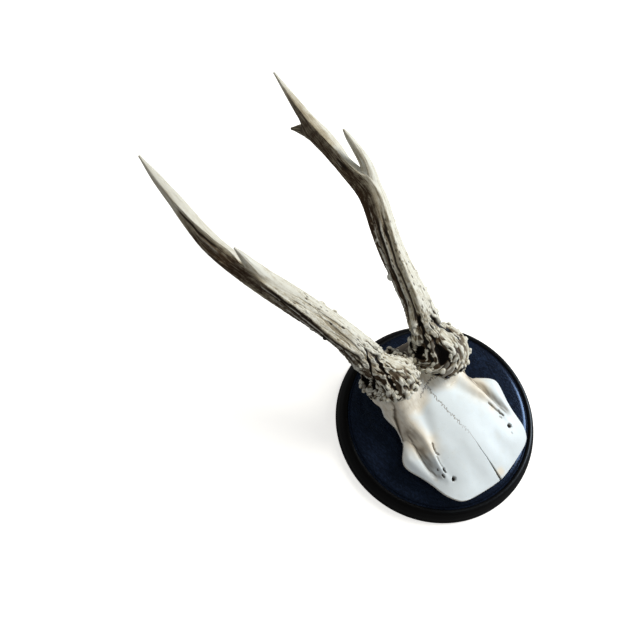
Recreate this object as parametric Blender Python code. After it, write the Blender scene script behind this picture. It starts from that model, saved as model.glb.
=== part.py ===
"""Roe-deer trophy: two pearled antlers on a cleaned skull cap, on a round turned wooden plaque.

The plaque's flat back lies in the plane z = 0 with its centre at the origin. +Z runs out of the
plaque, +Y runs towards the antler tips and +X towards the animal's left. Every length below is in
millimetres and is turned into metres where the meshes are made.
"""

import bmesh
import bpy
import numpy as np

MM = 0.001
GAP = 0.3                        # clearance between two pieces that touch
SMOOTH_ANGLE = 40.0              # faces that meet at a sharper angle than this keep a crisp edge

# Plaque: a flat panel with a rounded shoulder, a narrow groove and a rounded outer moulding, whose
# outline is given as radius and height from its crest down to the flat back.
PLAQUE_RADIUS = 67.5
PANEL_RADIUS = 59.0
PANEL_HEIGHT = 14.0
PANEL_SHOULDER = 2.0
GROOVE_RADIUS = 59.9
GROOVE_HEIGHT = 10.3
GROOVE_BEVEL = (0.3, 0.4)        # radius and height from the panel's side to the groove's floor
MOULDING = [
    (60.7, 11.2), (61.8, 11.5), (63.2, 10.7), (64.6, 8.5), (65.9, 5.7), (66.9, 2.8),
    (PLAQUE_RADIUS, 0.9), (67.1, 0.0),
]
PLAQUE_SEGMENTS = 56

# Skull cap: half outline from the nose point back to the cut behind the antlers, as the distance
# from the midline, the place along Y and the height of the bone's edge.
SKULL_MIDLINE_X = -1.6
SKULL_UNDERSIDE = PANEL_HEIGHT + GAP
SKULL_SIDE = [
    (31.5, -45.5, 24.5), (34.5, -40.0, 24.0), (36.5, -30.0, 23.5), (39.0, -21.0, 23.5),
    (41.5, -14.0, 24.0), (42.0, -8.5, 25.0), (39.5, -4.5, 25.5), (34.5, 0.0, 25.5),
    (31.0, 6.0, 26.0), (31.0, 14.0, 26.5), (31.5, 22.0, 27.5), (30.5, 32.0, 27.5),
    (27.0, 42.0, 24.5), (18.0, 49.0, 20.5),
]
SKULL_MIDLINE = [
    (-54.5, 22.5), (-49.0, 25.0), (-41.0, 28.5), (-33.0, 31.5), (-21.0, 34.5), (0.0, 37.5),
    (18.5, 39.5), (30.0, 39.0), (40.0, 33.5), (51.5, 21.5),
]
SKULL_ROWS = 24
SKULL_COLUMNS = 24
SKULL_DOME_POWER = 2.2           # how flat the top is before it falls to the edge
SKULL_ROW_BEND = 1.5             # how late each row bends from the midline towards the outline
BONE_EDGE = 3.0                  # thickness of the bone along its free edge
SKULL_FOOT = 0.76                # plan size of the face that meets the plaque, against the outline
TEMPORAL_RIDGE = [(24.0, 24.0), (27.0, 12.6), (29.5, 4.0), (26.0, -8.0)]
TEMPORAL_RIDGE_HEIGHT = 3.2
ORBIT_VALLEY = [(28.5, -1.0), (30.5, -12.0), (31.5, -23.0)]
ORBIT_VALLEY_DEPTH = 4.2
RELIEF_WIDTH = 3.0
FORAMEN_PLACE = (25.5, -34.6)
FORAMEN_RADIUS = 1.4
FORAMEN_SIDES = 8
FORAMEN_FLOOR = 22.0
CRACK_START_Y = -33.0
CRACK_END_Y = -60.0              # past the nose end
CRACK_HALF_WIDTH = 0.9
CRACK_FLOOR = 20.0
CUTTER_TOP = 40.0                # above all the bone that the holes and the crack go through

# Antlers: the axis from the burr to the tip, with the stem's radius at each point.
RIGHT_AXIS = [
    (-19.8, 36.3, 47.5, 9.4), (-24.4, 47.0, 56.5, 9.2), (-27.8, 57.1, 63.0, 8.9),
    (-36.3, 82.8, 74.0, 8.4), (-47.6, 113.0, 82.5, 7.6), (-55.9, 134.9, 88.0, 6.3),
    (-61.0, 157.3, 93.0, 5.8), (-61.5, 182.1, 98.0, 4.6), (-61.7, 206.1, 102.5, 2.9),
    (-61.4, 221.5, 105.5, 0.7),
]
LEFT_AXIS = [
    (14.8, 30.8, 47.5, 9.6), (15.2, 39.1, 57.5, 9.3), (18.0, 55.0, 67.5, 8.5),
    (23.4, 80.9, 76.5, 7.7), (33.9, 110.5, 84.0, 7.8), (38.8, 124.0, 87.0, 7.8),
    (37.9, 146.2, 91.5, 6.3), (38.2, 165.4, 95.3, 5.9), (38.0, 185.3, 99.0, 4.7),
    (39.3, 204.1, 102.8, 2.7), (41.1, 222.2, 106.5, 0.7),
]
RIGHT_BURR_NORMAL = (-0.12, 0.38, 0.92)
LEFT_BURR_NORMAL = (0.10, 0.14, 0.985)
RIGHT_BURR_SWELL = -0.12         # change of the burr's radius on its outer side
LEFT_BURR_SWELL = 0.16
BURR_DEPTH = 3.0                 # from the burr's underside to the plane of its rim

# Burr: distance along the axis from its underside, and the radius there, before the stem begins.
BURR_PROFILE = [
    (0.0, 12.6), (0.7, 17.0), (2.2, 19.6), (4.2, 19.8), (6.0, 17.9), (8.2, 15.2),
    (11.0, 12.6), (14.5, 10.7), (19.0, 9.7), (24.0, 9.4),
]
BURR_INNER_SQUEEZE = 0.17        # the burrs are flattened where they face each other
BURR_FADE = (12.0, 20.0)         # the burr's own form runs out between these distances
BURR_FLUTES = 9
BURR_FLUTE_DEPTH = 0.14
FLUTE_START = 4.0
FLUTE_RUN_IN = 3.0
RIM_PLACE = 3.2                  # distance from the underside to the crest of the rim
RIM_WIDTH = 1.6
RIM_PEARL_HEIGHT = 1.1
STEM_RIDGES = 7
STEM_RIDGE_DEPTH = 0.07
STEM_TWIST = 0.010               # turn of the ridges, in radians per millimetre
STEM_PEARL_HEIGHT = 1.1
STEM_PEARL_FADE = (57.0, 95.0)   # the pearls run out between these distances from the burr
PEARL_SCATTER = (12.9898, 78.233, 0.72)  # steps of a sine in row and column, and its threshold
RIDGE_FADE = (105.0, 160.0)      # the ridges run out between these distances from the burr
ANTLER_AROUND = 32
STEM_SPACING = 6.2

# Tines: axis and radius from inside the stem to the tip.
RIGHT_FRONT_TINE = [
    (-49.4, 119.0, 84.0, 4.4), (-52.4, 125.2, 91.5, 5.3), (-54.9, 131.0, 99.5, 3.2),
    (-56.1, 135.5, 105.0, 2.0), (-57.2, 137.1, 108.5, 0.6),
]
LEFT_FRONT_TINE = [
    (37.4, 121.7, 85.5, 4.6), (41.0, 130.6, 91.5, 5.8), (43.5, 137.2, 96.5, 4.7),
    (43.5, 147.0, 104.0, 3.2), (43.1, 155.9, 110.0, 1.6), (42.8, 158.8, 112.5, 0.6),
]
LEFT_REAR_TINE = [
    (38.7, 169.7, 94.5, 4.0), (38.9, 183.1, 89.5, 4.6), (37.7, 190.8, 85.5, 2.8),
    (34.9, 196.8, 82.0, 0.6),
]
TINE_AROUND = 12
TINE_SPACING = 3.6
TIP_REACH = 0.6                  # from a tube's last section to its point

# Pedicles: the short bone stalks that the burrs sit on. The profile gives the radius at shares of
# the length, from the burr down into the skull cap.
PEDICLE_LENGTH = 22.0
PEDICLE_PROFILE = [(0.0, 11.0), (0.12, 11.3), (0.24, 12.7), (0.36, 15.2), (0.5, 17.0), (1.0, 16.5)]
PEDICLE_AROUND = 24


def clear_scene():
    """Remove every object that the file holds."""
    for item in list(bpy.data.objects):
        bpy.data.objects.remove(item, do_unlink=True)


def make_material(name, colour, roughness):
    """Return a Principled material with a linear base colour."""
    material = bpy.data.materials.new(name)
    material.use_nodes = True
    shader = material.node_tree.nodes["Principled BSDF"]
    shader.inputs["Base Color"].default_value = (*colour, 1.0)
    shader.inputs["Roughness"].default_value = roughness
    shader.inputs["Metallic"].default_value = 0.0
    return material


def add_object(name, points, faces, material):
    """Make one closed mesh object from points in millimetres, with its faces turned outward."""
    mesh = bpy.data.meshes.new(name)
    mesh.from_pydata([tuple(point) for point in np.asarray(points) * MM], [], faces)
    shape = bmesh.new()
    shape.from_mesh(mesh)
    bmesh.ops.recalc_face_normals(shape, faces=shape.faces)
    shape.to_mesh(mesh)
    shape.free()
    mesh.shade_smooth()
    mesh.set_sharp_from_angle(angle=np.radians(SMOOTH_ANGLE))
    if material is not None:
        mesh.materials.append(material)
    item = bpy.data.objects.new(name, mesh)
    bpy.context.scene.collection.objects.link(item)
    return item


def add_cutter(name, points, faces):
    """Make a hidden helper shape for a Boolean modifier."""
    item = add_object(name, points, faces, None)
    item.hide_render = True
    item.display_type = "WIRE"
    return item


def add_boolean(item, helper, operation):
    """Join or cut an object with a helper shape."""
    modifier = item.modifiers.new(helper.name, "BOOLEAN")
    modifier.operation = operation
    modifier.solver = "EXACT"
    modifier.object = helper


def natural_spline(knots, values, at):
    """Natural cubic spline through the values at the knots, read at the given places."""
    knots = np.asarray(knots, dtype=float)
    values = np.asarray(values, dtype=float)
    steps = np.diff(knots)
    count = len(knots)
    system = np.eye(count)
    right_side = np.zeros_like(values)
    for i in range(1, count - 1):
        system[i, i - 1:i + 2] = (steps[i - 1], 2.0 * (steps[i - 1] + steps[i]), steps[i])
        rise = (values[i + 1] - values[i]) / steps[i] - (values[i] - values[i - 1]) / steps[i - 1]
        right_side[i] = 6.0 * rise
    bends = np.linalg.solve(system, right_side)
    cell = np.clip(np.searchsorted(knots, at, side="right") - 1, 0, count - 2)
    before = np.asarray(at) - knots[cell]
    after = knots[cell + 1] - np.asarray(at)
    step = steps[cell]
    if values.ndim > 1:
        before, after, step = before[:, None], after[:, None], step[:, None]
    curve = (bends[cell] * after ** 3 + bends[cell + 1] * before ** 3) / (6.0 * step)
    curve += (values[cell] / step - bends[cell] * step / 6.0) * after
    curve += (values[cell + 1] / step - bends[cell + 1] * step / 6.0) * before
    return curve


def unit(vectors):
    """Scale each vector to length one."""
    return vectors / np.linalg.norm(vectors, axis=-1, keepdims=True)


def path_along(axis_points, distances):
    """Centres, directions and stem radii at distances along a smooth axis."""
    data = np.asarray(axis_points, dtype=float)
    chords = np.linalg.norm(np.diff(data[:, :3], axis=0), axis=1)
    knots = np.concatenate([[0.0], np.cumsum(chords)])
    distances = np.clip(distances, 0.0, knots[-1])
    step = 0.05
    centres = natural_spline(knots, data[:, :3], distances)
    ahead = natural_spline(knots, data[:, :3], np.minimum(distances + step, knots[-1]))
    behind = natural_spline(knots, data[:, :3], np.maximum(distances - step, 0.0))
    radii = np.interp(distances, knots, data[:, 3])
    return centres, unit(ahead - behind), radii


def axis_length(axis_points):
    """Length of an axis, measured from point to point."""
    data = np.asarray(axis_points, dtype=float)[:, :3]
    return float(np.linalg.norm(np.diff(data, axis=0), axis=1).sum())


def tube(centres, directions, radii):
    """Closed tube: radii holds one row for each section and one column for each place around.

    Column 0 faces out of the plaque. The first section is a flat face and the last closes in a
    point, a short reach beyond its centre.
    """
    sections, around = radii.shape
    outward = np.array([0.0, 0.0, 1.0])
    fronts = unit(outward - (directions @ outward)[:, None] * directions)
    sides = np.cross(directions, fronts)
    angles = np.arange(around) * 2.0 * np.pi / around
    spokes = np.cos(angles)[None, :, None] * fronts[:, None, :]
    spokes = spokes + np.sin(angles)[None, :, None] * sides[:, None, :]
    points = (centres[:, None, :] + radii[:, :, None] * spokes).reshape(-1, 3)
    points = np.vstack([points, centres[-1] + TIP_REACH * directions[-1]])
    faces = [list(range(around))]
    for i in range(sections - 1):
        for j in range(around):
            following = (j + 1) % around
            faces.append([i * around + j, i * around + following,
                          (i + 1) * around + following, (i + 1) * around + j])
    last = (sections - 1) * around
    for j in range(around):
        faces.append([last + j, last + (j + 1) % around, sections * around])
    return points, faces


def antler_path(axis_points, burr_normal):
    """The antler's whole axis, begun at the burr's underside and square to the burr's plane."""
    centre = np.array(axis_points[0][:3])
    normal = unit(np.array(burr_normal))
    start = centre - BURR_DEPTH * normal
    above = centre + 0.8 * BURR_DEPTH * normal
    radius = axis_points[0][3]
    return [(*start, radius), (*centre, radius), (*above, radius)] + list(axis_points[1:])


def fade(values, start, end):
    """One before start, nothing after end, and a straight run between."""
    return np.clip((end - values) / (end - start), 0.0, 1.0)


def antler_shape(axis_points, burr_normal, inward, swell, grow=0.0):
    """Burr and stem as one tube; inward is +1 or -1, the way to the other antler along X."""
    path = antler_path(axis_points, burr_normal)
    length = axis_length(path)
    burr_end = BURR_PROFILE[-1][0]
    stem_sections = int(round((length - burr_end) / STEM_SPACING))
    stem_places = np.linspace(burr_end, length, stem_sections + 1)[1:]
    burr_places = np.array([place for place, radius in BURR_PROFILE])
    places = np.concatenate([burr_places, stem_places])
    centres, directions, stem_radii = path_along(path, places)
    burr_radii = np.interp(places, burr_places, [radius for place, radius in BURR_PROFILE])
    plain = np.where(places < burr_end, burr_radii, stem_radii)

    angles = np.arange(ANTLER_AROUND) * 2.0 * np.pi / ANTLER_AROUND
    along, turn = np.meshgrid(places, angles, indexing="ij")
    in_burr = fade(along, *BURR_FADE)
    facing = np.cos(turn - inward * np.pi / 2.0)
    inner, outer = np.maximum(0.0, facing), np.maximum(0.0, -facing)
    squeeze = 1.0 + in_burr * (swell * outer - BURR_INNER_SQUEEZE * inner)
    flute_share = in_burr * np.clip((along - FLUTE_START) / FLUTE_RUN_IN, 0.0, 1.0)
    flutes = 1.0 + BURR_FLUTE_DEPTH * flute_share * np.cos(BURR_FLUTES * turn)
    ridge_share = (1.0 - in_burr) * fade(along, *RIDGE_FADE)
    ridges = 1.0 + STEM_RIDGE_DEPTH * ridge_share * np.cos(STEM_RIDGES * (turn + STEM_TWIST * along))
    radii = plain[:, None] * squeeze * flutes * ridges

    row, column = np.indices(radii.shape)
    checker = np.where((row + column) % 2 == 0, 1.0, -1.0)
    rim = np.exp(-((along - RIM_PLACE) / RIM_WIDTH) ** 2)
    radii += RIM_PEARL_HEIGHT * rim * checker
    row_step, column_step, threshold = PEARL_SCATTER
    scattered = np.sin(row_step * row + column_step * column) > threshold
    pearl_share = (1.0 - in_burr) * fade(along, *STEM_PEARL_FADE)
    radii += STEM_PEARL_HEIGHT * scattered * pearl_share
    return tube(centres, directions, radii + grow)


def tine_shape(axis_points):
    """One tine as a plain tapering tube."""
    length = axis_length(axis_points)
    places = np.linspace(0.0, length, int(round(length / TINE_SPACING)) + 1)
    centres, directions, radii = path_along(axis_points, places)
    return tube(centres, directions, np.repeat(radii[:, None], TINE_AROUND, axis=1))


def add_tine(name, axis_points, stem, material):
    """A tine cut off where it meets its stem, with the usual gap between them."""
    item = add_object(name, *tine_shape(axis_points), material)
    cutter = add_cutter(name + "_stem_cutter", *antler_shape(*stem, grow=GAP))
    add_boolean(item, cutter, "DIFFERENCE")
    return item


def nearest_on_line(x, y, line):
    """Distance in plan from each place to a line of points."""
    best = np.full(x.shape, np.inf)
    for (ax, ay), (bx, by) in zip(line[:-1], line[1:]):
        run_x, run_y = bx - ax, by - ay
        share = ((x - ax) * run_x + (y - ay) * run_y) / (run_x ** 2 + run_y ** 2)
        share = np.clip(share, 0.0, 1.0)
        best = np.minimum(best, np.hypot(x - ax - share * run_x, y - ay - share * run_y))
    return best


def skull_surface():
    """Top of the skull cap: rows run across it from the nose end to the cut behind."""
    side = np.asarray(SKULL_SIDE)
    middle = np.asarray(SKULL_MIDLINE)
    side_knots = np.concatenate([[0.0], np.cumsum(np.hypot(*np.diff(side[:, :2], axis=0).T))])
    rows = np.linspace(0.0, 1.0, SKULL_ROWS)
    side_at = natural_spline(side_knots, side, rows * side_knots[-1])
    middle_y = middle[0, 0] + rows * (middle[-1, 0] - middle[0, 0])
    middle_z = natural_spline(middle[:, 0], middle[:, 1], middle_y)
    across = np.linspace(-1.0, 1.0, SKULL_COLUMNS)
    share = np.abs(across)[None, :]
    x = across[None, :] * side_at[:, :1]
    y = middle_y[:, None] + (side_at[:, 1] - middle_y)[:, None] * share ** SKULL_ROW_BEND
    fall = share ** SKULL_DOME_POWER
    z = middle_z[:, None] * (1.0 - fall) + side_at[:, 2:3] * fall
    ridge = np.exp(-(nearest_on_line(np.abs(x), y, TEMPORAL_RIDGE) / RELIEF_WIDTH) ** 2)
    valley = np.exp(-(nearest_on_line(np.abs(x), y, ORBIT_VALLEY) / RELIEF_WIDTH) ** 2)
    z = z + TEMPORAL_RIDGE_HEIGHT * ridge - ORBIT_VALLEY_DEPTH * valley
    return np.stack([x, y, z], axis=-1)


def skull_shape():
    """The skull cap as a closed solid: a free bone edge all round, drawn in to a flat foot."""
    top = skull_surface()
    rows, columns = top.shape[:2]
    index = np.arange(rows * columns).reshape(rows, columns)
    faces = []
    for i in range(rows - 1):
        for j in range(columns - 1):
            faces.append([index[i, j], index[i, j + 1], index[i + 1, j + 1], index[i + 1, j]])
    edge = list(index[0]) + list(index[1:, -1]) + list(index[-1, -2::-1]) + list(index[-2:0:-1, 0])
    points = top.reshape(-1, 3)
    lip = points[edge] - np.array([0.0, 0.0, BONE_EDGE])
    foot = points[edge] * SKULL_FOOT
    foot[:, 2] = SKULL_UNDERSIDE
    count = len(edge)
    loops = [edge, range(len(points), len(points) + count)]
    loops.append(range(len(points) + count, len(points) + 2 * count))
    for upper, lower in zip(loops[:-1], loops[1:]):
        for k in range(count):
            following = (k + 1) % count
            faces.append([upper[k], lower[k], lower[following], upper[following]])
    faces.append(list(loops[-1]))
    points = np.vstack([points, lip, foot]) + np.array([SKULL_MIDLINE_X, 0.0, 0.0])
    return points, [[int(corner) for corner in face] for face in faces]


def pedicle_shape(axis_points, burr_normal):
    """A tapering stalk from inside the skull cap up to the burr's underside, less the gap."""
    centre, direction, _ = path_along(antler_path(axis_points, burr_normal), np.array([0.0]))
    top = centre[0] - GAP * direction[0]
    shares = np.array([share for share, radius in PEDICLE_PROFILE])
    sizes = np.array([radius for share, radius in PEDICLE_PROFILE])
    centres = top - PEDICLE_LENGTH * shares[:, None] * direction[0]
    directions = np.repeat(-direction, len(shares), axis=0)
    return tube(centres, directions, np.repeat(sizes[:, None], PEDICLE_AROUND, axis=1))


def prism(outline, bottom, top):
    """Upright prism over a plan outline."""
    count = len(outline)
    points = [(x, y, bottom) for x, y in outline] + [(x, y, top) for x, y in outline]
    faces = [list(range(count)), list(range(count, 2 * count))]
    for k in range(count):
        following = (k + 1) % count
        faces.append([k, following, count + following, count + k])
    return points, faces


def circle(x, y, radius, sides):
    """Corners of a regular polygon in plan."""
    angles = np.arange(sides) * 2.0 * np.pi / sides
    return [(x + radius * np.cos(turn), y + radius * np.sin(turn)) for turn in angles]


def add_skull_cap(material):
    """Skull cap with its pedicles, two foramina and the open crack at the nose end."""
    item = add_object("skull_cap", *skull_shape(), material)
    stalks = {"right": (RIGHT_AXIS, RIGHT_BURR_NORMAL), "left": (LEFT_AXIS, LEFT_BURR_NORMAL)}
    for side, (axis_points, normal) in stalks.items():
        stalk = add_cutter(side + "_pedicle", *pedicle_shape(axis_points, normal))
        add_boolean(item, stalk, "UNION")
    for side, sign in (("right", -1.0), ("left", 1.0)):
        place_x = SKULL_MIDLINE_X + sign * FORAMEN_PLACE[0]
        hole = circle(place_x, FORAMEN_PLACE[1], FORAMEN_RADIUS, FORAMEN_SIDES)
        cutter = add_cutter(side + "_foramen_cutter", *prism(hole, FORAMEN_FLOOR, CUTTER_TOP))
        add_boolean(item, cutter, "DIFFERENCE")
    wedge = [(SKULL_MIDLINE_X, CRACK_START_Y),
             (SKULL_MIDLINE_X - CRACK_HALF_WIDTH, CRACK_END_Y),
             (SKULL_MIDLINE_X + CRACK_HALF_WIDTH, CRACK_END_Y)]
    crack = add_cutter("crack_cutter", *prism(wedge, CRACK_FLOOR, CUTTER_TOP))
    add_boolean(item, crack, "DIFFERENCE")
    return item


def plaque_profile():
    """Radius and height of the turned outline, from the panel's centre to the back's centre."""
    flat_radius = PANEL_RADIUS - PANEL_SHOULDER
    outline = [(0.0, PANEL_HEIGHT)]
    for turn in np.radians([0.0, 30.0, 60.0, 90.0]):
        outline.append((flat_radius + PANEL_SHOULDER * np.sin(turn),
                        PANEL_HEIGHT - PANEL_SHOULDER * (1.0 - np.cos(turn))))
    outline.append((GROOVE_RADIUS - GROOVE_BEVEL[0], GROOVE_HEIGHT + GROOVE_BEVEL[1]))
    outline.append((GROOVE_RADIUS, GROOVE_HEIGHT))
    return outline + MOULDING + [(0.0, 0.0)]


def add_plaque(material):
    """The turned plaque: one profile carried round the Z axis."""
    outline = plaque_profile()
    points = [(0.0, 0.0, PANEL_HEIGHT), (0.0, 0.0, 0.0)]
    faces = []
    turned = outline[1:-1]
    around = PLAQUE_SEGMENTS
    for radius, height in turned:
        points += [(x, y, height) for x, y in circle(0.0, 0.0, radius, around)]
    for i in range(len(turned) - 1):
        for j in range(around):
            following = (j + 1) % around
            near, far = 2 + i * around, 2 + (i + 1) * around
            faces.append([near + j, far + j, far + following, near + following])
    last = 2 + (len(turned) - 1) * around
    for j in range(around):
        following = (j + 1) % around
        faces.append([0, 2 + j, 2 + following])
        faces.append([1, last + following, last + j])
    return add_object("plaque", points, faces, material)


def main():
    """Build the whole trophy."""
    clear_scene()
    stained_wood = make_material("stained_wood", (0.010, 0.013, 0.022), 0.42)
    skull_bone = make_material("skull_bone", (0.80, 0.79, 0.74), 0.55)
    antler_stem = make_material("antler_stem", (0.58, 0.52, 0.41), 0.60)
    tine_ivory = make_material("tine_ivory", (0.76, 0.71, 0.58), 0.50)
    right_stem = (RIGHT_AXIS, RIGHT_BURR_NORMAL, 1.0, RIGHT_BURR_SWELL)
    left_stem = (LEFT_AXIS, LEFT_BURR_NORMAL, -1.0, LEFT_BURR_SWELL)
    add_plaque(stained_wood)
    add_skull_cap(skull_bone)
    add_object("right_antler", *antler_shape(*right_stem), antler_stem)
    add_tine("right_front_tine", RIGHT_FRONT_TINE, right_stem, tine_ivory)
    add_object("left_antler", *antler_shape(*left_stem), antler_stem)
    add_tine("left_front_tine", LEFT_FRONT_TINE, left_stem, tine_ivory)
    add_tine("left_rear_tine", LEFT_REAR_TINE, left_stem, tine_ivory)


main()
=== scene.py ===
"""Looks of a roe-deer trophy: two pearled antlers on a bleached skull cap on a round plaque.

The plaque's flat back lies in the plane z = 0 with its centre at the origin. +Z runs out of the
plaque, +Y towards the antler tips and +X towards the animal's left. Shapes are worked out in
millimetres and turned into metres where a mesh is made.
"""

import bpy
import numpy as np
from mathutils import Matrix, Vector


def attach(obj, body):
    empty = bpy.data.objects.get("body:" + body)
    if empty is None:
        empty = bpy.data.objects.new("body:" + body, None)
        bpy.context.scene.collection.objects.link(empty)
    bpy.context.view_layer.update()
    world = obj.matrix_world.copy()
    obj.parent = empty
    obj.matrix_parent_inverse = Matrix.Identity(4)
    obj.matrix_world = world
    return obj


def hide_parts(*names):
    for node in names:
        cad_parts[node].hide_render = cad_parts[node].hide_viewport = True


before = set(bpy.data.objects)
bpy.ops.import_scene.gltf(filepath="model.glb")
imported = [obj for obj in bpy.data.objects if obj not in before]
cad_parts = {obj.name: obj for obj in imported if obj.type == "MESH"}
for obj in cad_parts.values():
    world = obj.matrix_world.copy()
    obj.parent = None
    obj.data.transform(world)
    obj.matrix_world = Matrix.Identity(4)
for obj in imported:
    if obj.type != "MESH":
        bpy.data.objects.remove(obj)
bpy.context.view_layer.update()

bl_info = {
    "name": "Roe-deer trophy",
    "version": (1, 0, 0),
    "blender": (4, 5, 0),
    "location": "View3D > Sidebar > Trophy",
    "description": "Builds antlers, skull cap and plaque of a roe-deer trophy",
    "category": "Object",
}

MM = 0.001
ROUND = 2.0 * np.pi
WALK_STEPS = 14                  # steps that bring a surface close enough to where two forms join
JOIN_GAP = 0.05                  # and the distance at which it stops short of it
JOIN_SLOPE = 0.85                # height over the dome against distance from it

# Plaque: the turned outline as radius and height, from the edge of the flat panel to the back.
PLAQUE_RADIUS = 67.5
PANEL_RADIUS = 59.0
PANEL_HEIGHT = 14.0
PANEL_SHOULDER = (4.0, 2.4)      # width and depth of the rounding at the panel's edge
PANEL_CROWN = (44.0, 0.4)        # where the panel starts to fall towards its edge, and how far
GROOVE = [(59.5, 11.0), (59.9, 10.3), (60.3, 10.7)]
MOULDING = [
    (60.7, 11.2), (61.8, 11.5), (63.2, 10.7), (64.6, 8.5), (65.9, 5.7), (66.9, 2.8),
    (PLAQUE_RADIUS, 0.9), (67.1, 0.0),
]
PANEL_GLOSS = ((0.42, 0.6, 0.95), 0.24)     # colour of the reflections and roughness
MOULDING_GLOSS = ((0.5, 0.5, 0.5), 0.42)
PLAQUE_CENTRE = 0.4              # radius of the innermost ring, which a fan closes
PLAQUE_COLUMNS = 240

# Skull cap: half outline from the nose point to the cut behind the antlers, as the distance from
# the midline, the place along Y and the height of the bone's edge.
MIDLINE_X = -1.6
SKULL_UNDERSIDE = 14.3
SKULL_SIDE = [
    (25.0, -50.0, 23.6), (29.6, -47.6, 24.0), (32.2, -44.4, 24.3), (34.5, -39.5, 24.0),
    (36.5, -30.0, 23.5), (39.0, -21.0, 23.5),
    (41.5, -14.0, 24.0), (42.0, -8.5, 25.0), (39.5, -4.5, 25.5), (34.5, 0.0, 25.5),
    (31.0, 6.0, 26.0), (31.0, 14.0, 26.5), (31.5, 22.0, 27.5), (30.5, 32.0, 27.5),
    (27.0, 42.0, 24.5), (18.0, 49.0, 20.5),
]
SKULL_MIDDLE = [
    (-54.5, 22.5), (-49.0, 25.0), (-41.0, 28.5), (-33.0, 31.5), (-21.0, 34.5), (0.0, 37.5),
    (18.5, 39.5), (30.0, 39.0), (40.0, 33.5), (51.5, 21.5),
]
SKULL_ROWS = 250
SKULL_COLUMNS = 270
COLUMN_CROWDING = 1.15           # above one, the columns crowd towards the midline
DOME_POWER = 2.2                 # how flat the top is before it falls to the edge
ROW_BEND = 1.5                   # how late each row bends from the midline to the outline
BONE_EDGE = 3.0                  # thickness of the bone's free edge
BONE_EDGE_WARMTH = 0.55
SKULL_FOOT = 0.76                # plan size of the part that meets the plaque, against the outline
SKULL_STEEPNESS = 3.0            # how steeply skull_height falls outside the outline
# Broad relief: lines in plan whose points give half width and height. Both sides are alike.
SKULL_RELIEF = [
    [(19.5, 36.0, 6.5, 5.5), (22.6, 22.0, 6.8, 4.8), (24.2, 8.0, 6.8, 3.6), (25.2, -4.0, 5.2, 2.7),
     (26.8, -13.0, 2.6, 1.9), (28.0, -24.0, 1.8, 1.1), (28.6, -33.0, 1.8, 0.4)],
    [(26.8, 26.0, 1.5, -2.2), (27.6, 15.0, 1.5, -3.0), (29.2, 8.0, 1.7, -2.6), (31.4, 1.0, 2.0, -0.8)],
    [(28.0, 4.0, 2.0, -1.4), (28.9, -3.0, 2.5, -4.6), (30.2, -12.0, 2.6, -5.4),
     (31.4, -20.0, 2.3, -4.0), (32.4, -28.0, 2.0, -1.0)],
    [(35.5, -1.0, 2.2, 0.6), (38.6, -8.0, 2.8, 1.3), (37.4, -18.0, 2.6, 0.9), (35.0, -28.0, 2.4, 0.3)],
    [(10.0, 24.0, 4.4, -1.0), (12.5, 12.0, 4.6, -1.2), (16.0, 2.0, 4.0, -1.0), (20.0, -8.0, 3.0, -0.7)],
    [(11.0, -18.0, 6.5, -0.5), (12.5, -44.0, 6.5, -1.0)],
]
# Valleys over the eye sockets, on both sides, along which shade is painted, and the temporal ridges:
# lines in plan.
ORBIT_VALLEY = [(28.0, 4.0), (28.9, -3.0), (30.2, -12.0), (31.4, -20.0), (32.4, -27.0)]
TEMPORAL_RIDGE = [(22.0, 34.0), (25.0, 16.0), (29.0, 3.0), (26.5, -9.0)]
# Holes and slots: a line in plan from the midline, half width, depth, and how dark it is inside, which
# in the deep holes is painted shade.
SKULL_SLOTS = [
    ([(-22.2, -10.4), (-23.6, -13.2), (-24.3, -16.0), (-23.9, -17.6)], 0.6, 0.9, 0.5),
    ([(-25.2, -18.2), (-26.2, -22.6), (-26.6, -25.6)], 0.55, 0.5, 0.3),
    ([(-26.5, -26.4), (-26.7, -28.2)], 0.65, 1.6, 1.0),
    ([(-28.9, -28.4), (-29.2, -30.2)], 0.55, 1.5, 0.9),
    ([(-29.1, -24.2), (-29.2, -24.7)], 0.5, 1.2, 0.8),
    ([(-25.3, -34.6), (-25.4, -34.8)], 1.35, 3.2, 1.0),
    ([(24.4, -15.6), (25.2, -19.4), (27.0, -25.2)], 0.5, 1.1, 0.5),
    ([(26.6, -24.6), (27.6, -27.4)], 0.6, 1.3, 0.75),
    ([(24.4, -26.3), (24.9, -27.6)], 0.45, 0.7, 0.4),
    ([(26.1, -34.6), (26.2, -34.8)], 1.35, 3.2, 1.0),
    ([(23.8, -38.7), (23.8, -38.9)], 0.6, 0.4, 0.25),
]
# Sutures: a line in plan, how far it zigzags each way, the length of a zigzag, and how dark it is.
SUTURES = [
    ([(-0.9, 18.3), (-1.8, 12.4), (-1.8, 7.7), (-1.7, 1.7), (-1.4, -3.8)], 0.9, 3.2, 0.62),
    ([(-1.4, -3.8), (-0.9, -10.6), (-0.8, -14.0)], 1.0, 2.6, 0.55),
    ([(-0.8, -14.0), (-0.4, -17.0), (0.2, -20.9)], 1.3, 2.2, 0.3),
    ([(-0.9, 18.3), (-5.3, 16.8), (-9.6, 14.6)], 0.8, 2.1, 0.8),
    ([(-0.9, 18.3), (4.0, 19.2), (9.6, 16.6)], 0.8, 2.1, 0.8),
]
SUTURE_HALF_WIDTH = 0.19
# Open crack at the nose: a line in plan, and places along Y with its half width there.
NOSE_CRACK = [(0.2, -20.9), (-0.6, -32.3), (-0.6, -38.3), (-0.8, -44.7), (-1.1, -50.0), (-1.4, -56.0)]
CRACK_WIDTHS = [(-56.0, 0.85), (-49.0, 0.55), (-42.0, 0.32), (-36.0, 0.2), (-20.9, 0.15)]
# Stained places: middle in plan, radius and strength.
SKULL_STAINS = [(1.6, -51.0, 2.6, 1.0), (24.2, -19.5, 2.6, 0.55), (-26.5, 4.0, 4.0, 0.35)]

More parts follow.
